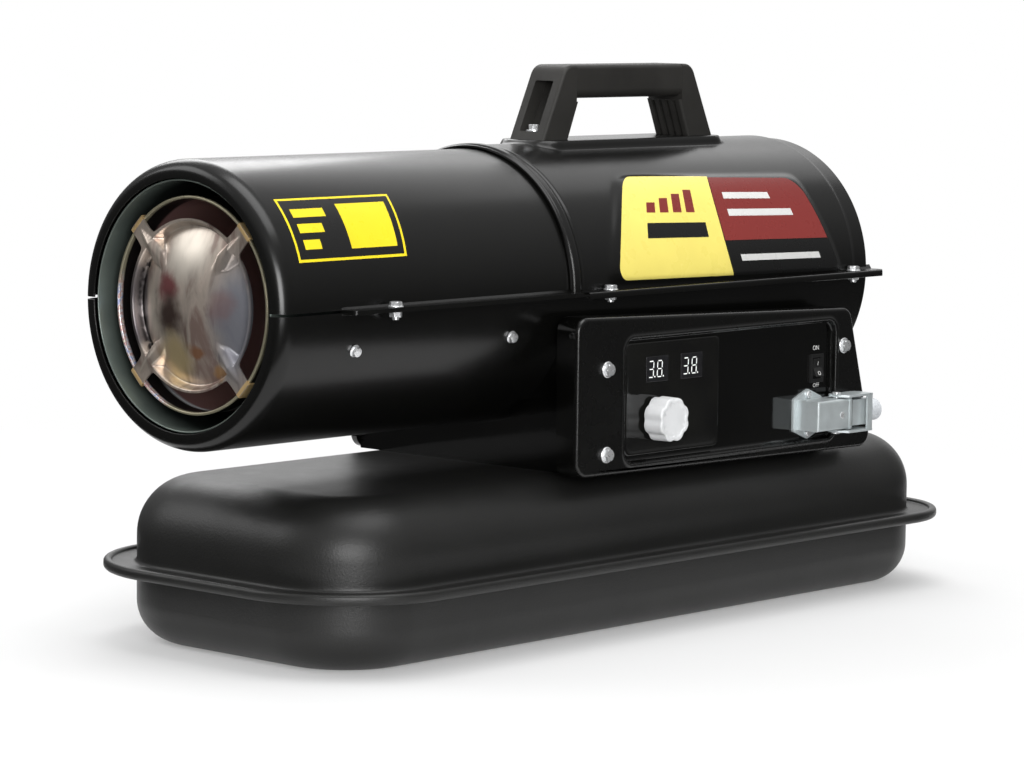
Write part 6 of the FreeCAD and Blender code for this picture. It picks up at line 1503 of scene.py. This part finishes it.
    @staticmethod
    def writing(name, text, place, size, normal=Vector((0.0, -1.0, 0.0)), body=BODY):
        """Printed word lying on a face with the given normal, upright for the user."""
        curve = bpy.data.curves.new(name, "FONT")
        curve.body = text
        curve.size = size * MM
        curve.extrude = 0.04 * MM
        curve.align_x = "CENTER"
        curve.align_y = "CENTER"
        holder = bpy.data.objects.new(name + "_word", curve)
        bpy.context.scene.collection.objects.link(holder)
        bpy.context.view_layer.update()
        depsgraph = bpy.context.evaluated_depsgraph_get()
        mesh = bpy.data.meshes.new_from_object(holder.evaluated_get(depsgraph))
        bpy.data.objects.remove(holder)
        right = Vector((1.0, 0.0, 0.0))
        turn = Matrix((right, normal.cross(right), normal)).transposed().to_4x4()
        mesh.transform(Matrix.Translation(Vector(place) * MM) @ turn)
        finished(name, mesh, "white_print", body, (), 40.0, 0.0)


class HEATER_OT_connector(bpy.types.Operator):
    """Dress the locking connector: housing, hood, gland, seal, pins and lever"""

    bl_idname = "heater.connector"
    bl_label = "Panel connector"

    def execute(self, context):
        dressed("connector_housing", "enamel", 0.9)
        dressed("connector_hood", "enamel", 1.2)
        dressed("connector_seal", "rubber", 0.3)
        self.gland()
        self.rivet()
        dressed("lever_pins", "zinc", 0.3)
        dressed("connector_lever", "enamel", 0.5, body="lever")
        dressed("connector_screws", "zinc", 0.3)
        return {"FINISHED"}

    @staticmethod
    def gland():
        """Gland: a spun profile whose radius swings between rings along its axis."""
        low, high = span("hood_gland")
        middle = (low + high) / 2
        long = high[0] - low[0]
        reach = (high[2] - low[2]) / 2
        neck, pitch, swing = 2.0, 2.4, 0.35
        along = np.linspace(neck, long - 0.8, 61)
        rings = reach - swing + swing * np.cos(2 * math.pi * (along - neck) / pitch)
        body = np.column_stack([along, np.minimum(rings, reach * 0.95)])
        end = [(long, reach * 0.8), (long, 0.0)]
        profile = np.vstack([[(0.0, 0.0), (0.0, 4.3), (neck, 4.3)], body, end])
        Shape().grid(spun(profile, (low[0], middle[1], middle[2]), (1, 0, 0), 48), wrap=True).made(
            "ringed_gland", "gland", slot="gland_plastic", hides=("hood_gland",)
        )

    @staticmethod
    def rivet():
        """Rivet on the housing's side: a low spun dome with a dimple."""
        low = span("connector_housing")[0]
        profile = [(0.0, 0.0), (0.0, 2.7), (0.35, 2.6), (0.75, 1.9), (0.9, 1.0), (0.7, 0.6), (0.65, 0.0)]
        Shape().grid(spun(profile, (186.5, low[1] + 0.7, 146.5), (0, -1, 0), 32), wrap=True).made(
            "housing_rivet", "zinc", slot="zinc"
        )


# Handle, fasteners and rear


class HEATER_OT_handle(bpy.types.Operator):
    """Dress the carrying handle and its grip"""

    bl_idname = "heater.handle"
    bl_label = "Handle"

    def execute(self, context):
        dressed("handle_frame", "handle", 0.8)
        dressed("handle_grip", "handle", 0.8)
        return {"FINISHED"}


def hexagonal(flats, start, end):
    """Radius scale that makes a stretch of a spun profile six-sided."""
    def scale(reach, turn, along):
        side = flats / 2 / np.cos(((turn + math.pi / 6) % (math.pi / 3)) - math.pi / 6)
        return np.where((along >= start) & (along <= end), np.minimum(reach, side), reach)
    return scale


def hex_head(shape, seat, out, flats=8.0, tall=4.0, washer=6.0, brim=1.2):
    """Hexagon screw head with a round brim and a chamfered top, spun about its own axis."""
    corner = flats / math.sqrt(3)
    top = brim + tall
    profile = np.vstack([
        [(0.0, 0.0), (0.0, washer - 0.2), (0.25, washer), (brim * 0.6, washer), (brim, washer - 0.5)],
        [(brim + 0.05, corner), (brim + tall * 0.5, corner), (top - 0.5, corner), (top - 0.1, corner - 0.5)],
        [(top, corner - 1.3), (top + 0.05, corner * 0.4), (top + 0.05, 0.0)],
    ])
    lobes = hexagonal(flats, brim + 0.04, top + 1.0)
    shape.grid(spun(profile, seat, out, 48, lobes), wrap=True)


# Places of the fasteners: cover screws in X and Z, flange bolts and liner screws along X
COVER_SCREWS = ((-70.5, 197.7), (-70.5, 135.5), (209.6, 197.8))
FAR_SCREW_FRONT = -55.0
FLANGE_BOLTS = (-270.0, -44.5, 247.0)
BOLT_INSET = 6.0
LINER_SCREWS = (-298.0, -139.0)
LINER_SCREW_DROP = math.radians(16.0)


class HEATER_OT_fasteners(bpy.types.Operator):
    """Build hexagon heads for every visible screw and bolt"""

    bl_idname = "heater.fasteners"
    bl_label = "Fasteners"

    def execute(self, context):
        tube = in_mm(context.scene.heater_tube)
        self.cover_screws(in_mm(context.scene.heater_panel))
        self.flange_bolts(tube)
        dressed("flange_nuts", "zinc", 0.4)
        self.liner_screws()
        dressed("handle_screws", "zinc", 0.4)
        return {"FINISHED"}

    @staticmethod
    def cover_screws(panel):
        """Heads on the control cover, and taller ones on the far cover, kept off its front end."""
        far = span("side_cover")[1][1]
        shape = Shape()
        for x, z in COVER_SCREWS:
            hex_head(shape, (x, -panel.depth, z), (0.0, -1.0, 0.0), tall=3.0)
            hex_head(shape, (max(x, FAR_SCREW_FRONT), far, z), (0.0, 1.0, 0.0))
        shape.made("cover_heads", "zinc", slot="zinc", hides=("cover_screws",))

    @staticmethod
    def flange_bolts(tube):
        """Bolts down through the seam flanges: a head above and a spun tail below."""
        tail = [(0.0, 0.0), (0.0, 2.5), (8.6, 2.5), (9.0, 2.0), (9.0, 0.0)]
        shape = Shape()
        for x in FLANGE_BOLTS:
            for side in (-1.0, 1.0):
                seat = (x, side * (tube.flange_edge - BOLT_INSET), AXIS + tube.sheet)
                hex_head(shape, seat, (0, 0, 1), tall=2.8, washer=5.4, brim=1.0)
                shape.grid(spun(tail, seat, (0, 0, -1), 24), wrap=True)
        shape.made("seam_bolts", "zinc", slot="zinc", hides=("flange_bolts",))

    @staticmethod
    def liner_screws():
        """Small heads square to the lower shell, a little under its seam."""
        shape = Shape()
        for x in LINER_SCREWS:
            for side in (-1.0, 1.0):
                out = np.array([0.0, side * math.cos(LINER_SCREW_DROP), -math.sin(LINER_SCREW_DROP)])
                seat = np.array([x, 0.0, AXIS]) + out * (TUBE_RADIUS + 0.05)
                hex_head(shape, seat, out, 6.5, 3.0, 4.5, 0.9)
        shape.made("liner_heads", "zinc", slot="zinc", hides=("side_screws",))


class HEATER_OT_rear(bpy.types.Operator):
    """Build the wire guard, fan and fuel cap, and finish the gauge, motor, pump and support box"""

    bl_idname = "heater.rear"
    bl_label = "Rear and filler"

    def execute(self, context):
        self.guard()
        self.fan()
        self.cap()
        dressed("fuel_gauge", "black_plastic", 0.8)
        dressed("motor_body", "motor", 0.8)
        dressed("pump_body", "aluminium", 0.6)
        dressed("pump_cover", "aluminium", 0.6)
        dressed("support_frame", "panel", 0.3)
        return {"FINISHED"}

    @staticmethod
    def guard():
        """Guard: round wire rings, spokes behind them and a rolled outer band."""
        front, rear = GUARD_LOW[0], GUARD_HIGH[0]
        outer = (GUARD_HIGH[2] - GUARD_LOW[2]) / 2
        wire, smallest, pitch, band = 1.25, 18.0, 16.0, 2.0
        turn = np.arange(120) * 2 * math.pi / 120
        shape = Shape()
        for radius in smallest + pitch * np.arange(5):
            path = turned([(rear - wire, radius)], turn)[:, 0]
            shape.grid(tube_along(path, wire, 12, closed=True), wrap=True, ring=True)
        behind = rear - 3 * wire
        for angle in math.pi * (np.arange(8) + 0.5) / 4:
            ends = [(behind, smallest - 2.0), (behind, 60.0), (behind, outer - band / 2)]
            path = turned(ends, np.array([angle]))[0]
            shape.grid(tube_along(path, wire, 12), wrap=True, caps=True)
        section = [(front, outer), (rear, outer), (rear, outer - band), (front, outer - band)]
        shape.grid(turned(rounded(section, 0.8, 4), turn), wrap=True, ring=True)
        shape.made("wire_guard", "shell", slot="shell_paint", hides=("rear_guard",))

    @staticmethod
    def fan():
        """Fan: each blade is a sheet over radius and chord, twisted and slightly cupped."""
        front, rear = FAN_LOW[0], FAN_HIGH[0]
        hub, root, tip, half_sheet = 18.0, 16.5, 90.5, 0.8
        radius = np.linspace(root, tip, 24)[:, None]
        share = np.linspace(-0.5, 0.5, 16)[None, :]
        grown = (radius - root) / (tip - root)
        chord = 32.0 + 26.0 * grown
        pitch = np.radians(50.0 - 24.0 * grown)
        cup = 2.2 * (1.0 - (2 * share) ** 2) * grown
        boss = rounded([(front, 0.0), (front, hub), (rear, hub), (rear, 0.0)], [0.0, 2.5, 2.5, 0.0], 5)
        shape = Shape()
        shape.grid(turned(boss, np.arange(72) * 2 * math.pi / 72), wrap=True, ring=True)
        for turn in 2 * math.pi * np.arange(5) / 5:
            skins = []
            for lift in (cup + half_sheet, cup - half_sheet):
                x = (front + rear) / 2 + share * chord * np.sin(pitch) + lift * np.cos(pitch)
                side = share * chord * np.cos(pitch) - lift * np.sin(pitch)
                y = side * math.cos(turn) - radius * math.sin(turn)
                z = AXIS + radius * math.cos(turn) + side * math.sin(turn)
                skins.append(np.stack([x, y, z], -1))
            shape.slab(*skins)
        shape.made("fan_wheel", "aluminium", body="rotor", slot="aluminium", hides=("fan",))

    @staticmethod
    def cap():
        """Fuel cap: a spun profile with twelve grip hollows round its skirt."""
        r = (CAP_HIGH[0] - CAP_LOW[0]) / 2
        tall = CAP_HIGH[2] - CAP_LOW[2]
        centre = ((CAP_LOW[0] + CAP_HIGH[0]) / 2, (CAP_LOW[1] + CAP_HIGH[1]) / 2, CAP_LOW[2])
        bore, under, face = 20.2, tall - 4.0, tall - 0.8
        profile = np.vstack([
            [(under, 0.0), (under, bore), (0.4, bore), (0.0, bore + 0.4), (0.0, r - 1.0), (0.8, r)],
            [(tall - 3.0, r)],
            arc((tall - 2.2, r - 2.2), 2.2, 90, 0, 6),
            [(tall, r - 6.0), (face, r - 7.0), (face, 0.0)],
        ])
        hollows = lobed(12, 1.7, 2.0, lambda along: smooth((tall - 2.0 - along) / 2.0))

        def outside_only(reach, turn, along):
            """Hollows on the skirt alone, and none on the face."""
            return np.where(reach > r - 2.5, hollows(reach, turn, along), reach)

        Shape().grid(spun(profile, centre, (0, 0, 1), 144, outside_only), wrap=True).made(
            "filler_cap", "black_plastic", body="cap", slot="cap_plastic", hides=("fuel_cap",)
        )


# Stage


# Floor: flat places along the view, the bend's radius, the wall's place and top, and the reach
# to the left and right at some places
FLOOR_FLAT = (-640.0, -300.0, 0.0, 500.0, 1200.0, 2000.0, 3500.0)
FLOOR_BEND = 1300.0
FLOOR_BACK = 6900.0
FLOOR_TOP = 5700.0
FLOOR_PLACES = (-640.0, 0.0, 500.0, 2000.0, FLOOR_BACK)
FLOOR_LEFT = (350.0, 440.0, 520.0, 760.0, 2285.0)
FLOOR_RIGHT = (325.0, 405.0, 600.0, 1400.0, 4500.0)

# Lamps: name, place, aim and size in metres, and power in watts
LAMPS = (
    ("overhead", (-0.1, -0.48, 2.5), (-0.1, 0.0, 0.2), (1.5, 2.2), 33.0),
    ("key", (-2.05, -2.35, 0.78), (0.0, 0.0, 0.2), (1.4, 1.5), 72.0),
    ("rear", (0.95, 1.70, 1.55), (-0.1, 0.0, 0.2), (1.3, 0.8), 12.0),
    ("rear_right", (1.75, 0.6, 1.75), (0.0, 0.0, 0.25), (1.8, 1.0), 5.0),
    ("rear_left", (-1.65, 1.75, 1.75), (-0.3, 0.0, 0.15), (1.3, 1.5), 17.0),
)


class HEATER_OT_stage(bpy.types.Operator):
    """Set the floor, backdrop, lights and the camera"""

    bl_idname = "heater.stage"
    bl_label = "Stage"

    def execute(self, context):
        scene = context.scene
        scene.view_settings.view_transform = "Standard"
        self.floor()
        self.lights(scene)
        self.camera(scene)
        return {"FINISHED"}

    @staticmethod
    def floor():
        """Paper under the object that bends up behind it.

        Its path runs along the view, turns up on a quarter circle and ends in a wall. It widens
        along the view, more to the right.
        """
        bend = arc((FLOOR_BACK - FLOOR_BEND, FLOOR_BEND), FLOOR_BEND, -90, 0, 16)
        path = np.vstack([[(place, 0.0) for place in FLOOR_FLAT], bend, [(FLOOR_BACK, FLOOR_TOP)]])
        along, up = path[:, :1], path[:, 1:]
        across = np.linspace(-1.0, 1.0, 14)[None, :]
        left = np.interp(along, FLOOR_PLACES, FLOOR_LEFT)
        right = np.interp(along, FLOOR_PLACES, FLOOR_RIGHT)
        reach = np.where(across < 0.0, left, right) * across
        x = along * AHEAD[0] + reach * AHEAD[1]
        y = along * AHEAD[1] - reach * AHEAD[0]
        below = 0.3
        shape = Shape().grid(np.stack(np.broadcast_arrays(x, y, up - below), -1))
        mesh = bpy.data.meshes.new("studio_floor")
        mesh.from_pydata(np.concatenate(shape.points) * MM, [], shape.faces)
        mesh.shade_smooth()
        mesh.materials.append(FINISHES["stage"])
        floor = bpy.data.objects.new("studio_floor", mesh)
        bpy.context.scene.collection.objects.link(floor)

    @staticmethod
    def lights(scene):
        """A sky that brightens upwards, and soft lamps above, beside the camera and behind."""
        world = bpy.data.worlds.new("studio")
        scene.world = world
        world.use_nodes = True
        tree = world.node_tree
        parts = tree.nodes.new("ShaderNodeSeparateXYZ")
        tree.links.new(tree.nodes.new("ShaderNodeTexCoord").outputs["Generated"], parts.inputs[0])
        rise = tree.nodes.new("ShaderNodeMapRange")
        for socket, value in (("From Min", -0.1), ("From Max", 0.9), ("To Min", 0.07), ("To Max", 0.62)):
            rise.inputs[socket].default_value = value
        tree.links.new(parts.outputs[2], rise.inputs["Value"])
        background = tree.nodes["Background"]
        background.inputs[0].default_value = (1.0, 1.0, 1.0, 1.0)
        tree.links.new(rise.outputs[0], background.inputs[1])
        for name, place, aim, size, power in LAMPS:
            lamp = bpy.data.lights.new(name, "AREA")
            lamp.shape = "RECTANGLE"
            lamp.size, lamp.size_y = size
            lamp.energy = power
            holder = bpy.data.objects.new(name, lamp)
            holder.location = place
            look = Vector(aim) - Vector(place)
            holder.rotation_euler = look.to_track_quat("-Z", "Y").to_euler()
            scene.collection.objects.link(holder)

    @staticmethod
    def camera(scene):
        """Camera at its place, turned by yaw, pitch and roll."""
        stage = scene.heater_stage
        ahead = Vector((
            -math.sin(stage.yaw) * math.cos(stage.pitch),
            math.cos(stage.yaw) * math.cos(stage.pitch),
            math.sin(stage.pitch),
        ))
        right = Vector((math.cos(stage.yaw), math.sin(stage.yaw), 0.0))
        up = right.cross(ahead)
        tilted = right * math.cos(stage.roll) + up * math.sin(stage.roll)
        upright = up * math.cos(stage.roll) - right * math.sin(stage.roll)
        data = bpy.data.cameras.new("camera")
        data.sensor_fit = "HORIZONTAL"
        data.sensor_width = 36.0
        data.lens = stage.lens
        data.clip_end = 60.0
        camera = bpy.data.objects.new("camera", data)
        turn = Matrix((tilted, upright, -ahead)).transposed().to_4x4()
        camera.matrix_world = Matrix.Translation(Vector(stage.camera_place)) @ turn
        scene.collection.objects.link(camera)
        scene.camera = camera


class HEATER_PT_panel(bpy.types.Panel):
    """Sidebar list of the heater's build steps and sizes"""

    bl_idname = "HEATER_PT_panel"
    bl_label = "Direct-fired heater"
    bl_space_type = "VIEW_3D"
    bl_region_type = "UI"
    bl_category = "Heater"

    def draw(self, context):
        for step in STEPS:
            self.layout.operator(step.bl_idname)
        for name in GROUPS:
            group = getattr(context.scene, name)
            box = self.layout.box()
            for item in group.__annotations__:
                box.prop(group, item)


GROUPS = {
    "heater_tank": TankSizes, "heater_tube": TubeSizes, "heater_burner": BurnerSizes,
    "heater_panel": PanelSizes, "heater_colours": Colours, "heater_stage": StageSettings,
}
STEPS = (
    HEATER_OT_finishes, HEATER_OT_tank, HEATER_OT_tube, HEATER_OT_rear_shell, HEATER_OT_prints,
    HEATER_OT_burner, HEATER_OT_covers, HEATER_OT_controls, HEATER_OT_connector, HEATER_OT_handle,
    HEATER_OT_fasteners, HEATER_OT_rear, HEATER_OT_stage,
)


def register():
    """Registers the sizes, the operators and the panel."""
    for name, group in GROUPS.items():
        bpy.utils.register_class(group)
        setattr(bpy.types.Scene, name, PointerProperty(type=group))
    for step in (*STEPS, HEATER_PT_panel):
        bpy.utils.register_class(step)


def unregister():
    """Takes away what register added."""
    for step in reversed((*STEPS, HEATER_PT_panel)):
        bpy.utils.unregister_class(step)
    for name, group in reversed(GROUPS.items()):
        delattr(bpy.types.Scene, name)
        bpy.utils.unregister_class(group)


def main():
    """Registers the add-on and runs every step."""
    register()
    for step in STEPS:
        family, action = step.bl_idname.split(".")
        getattr(getattr(bpy.ops, family), action)()


if __name__ == "__main__":
    main()
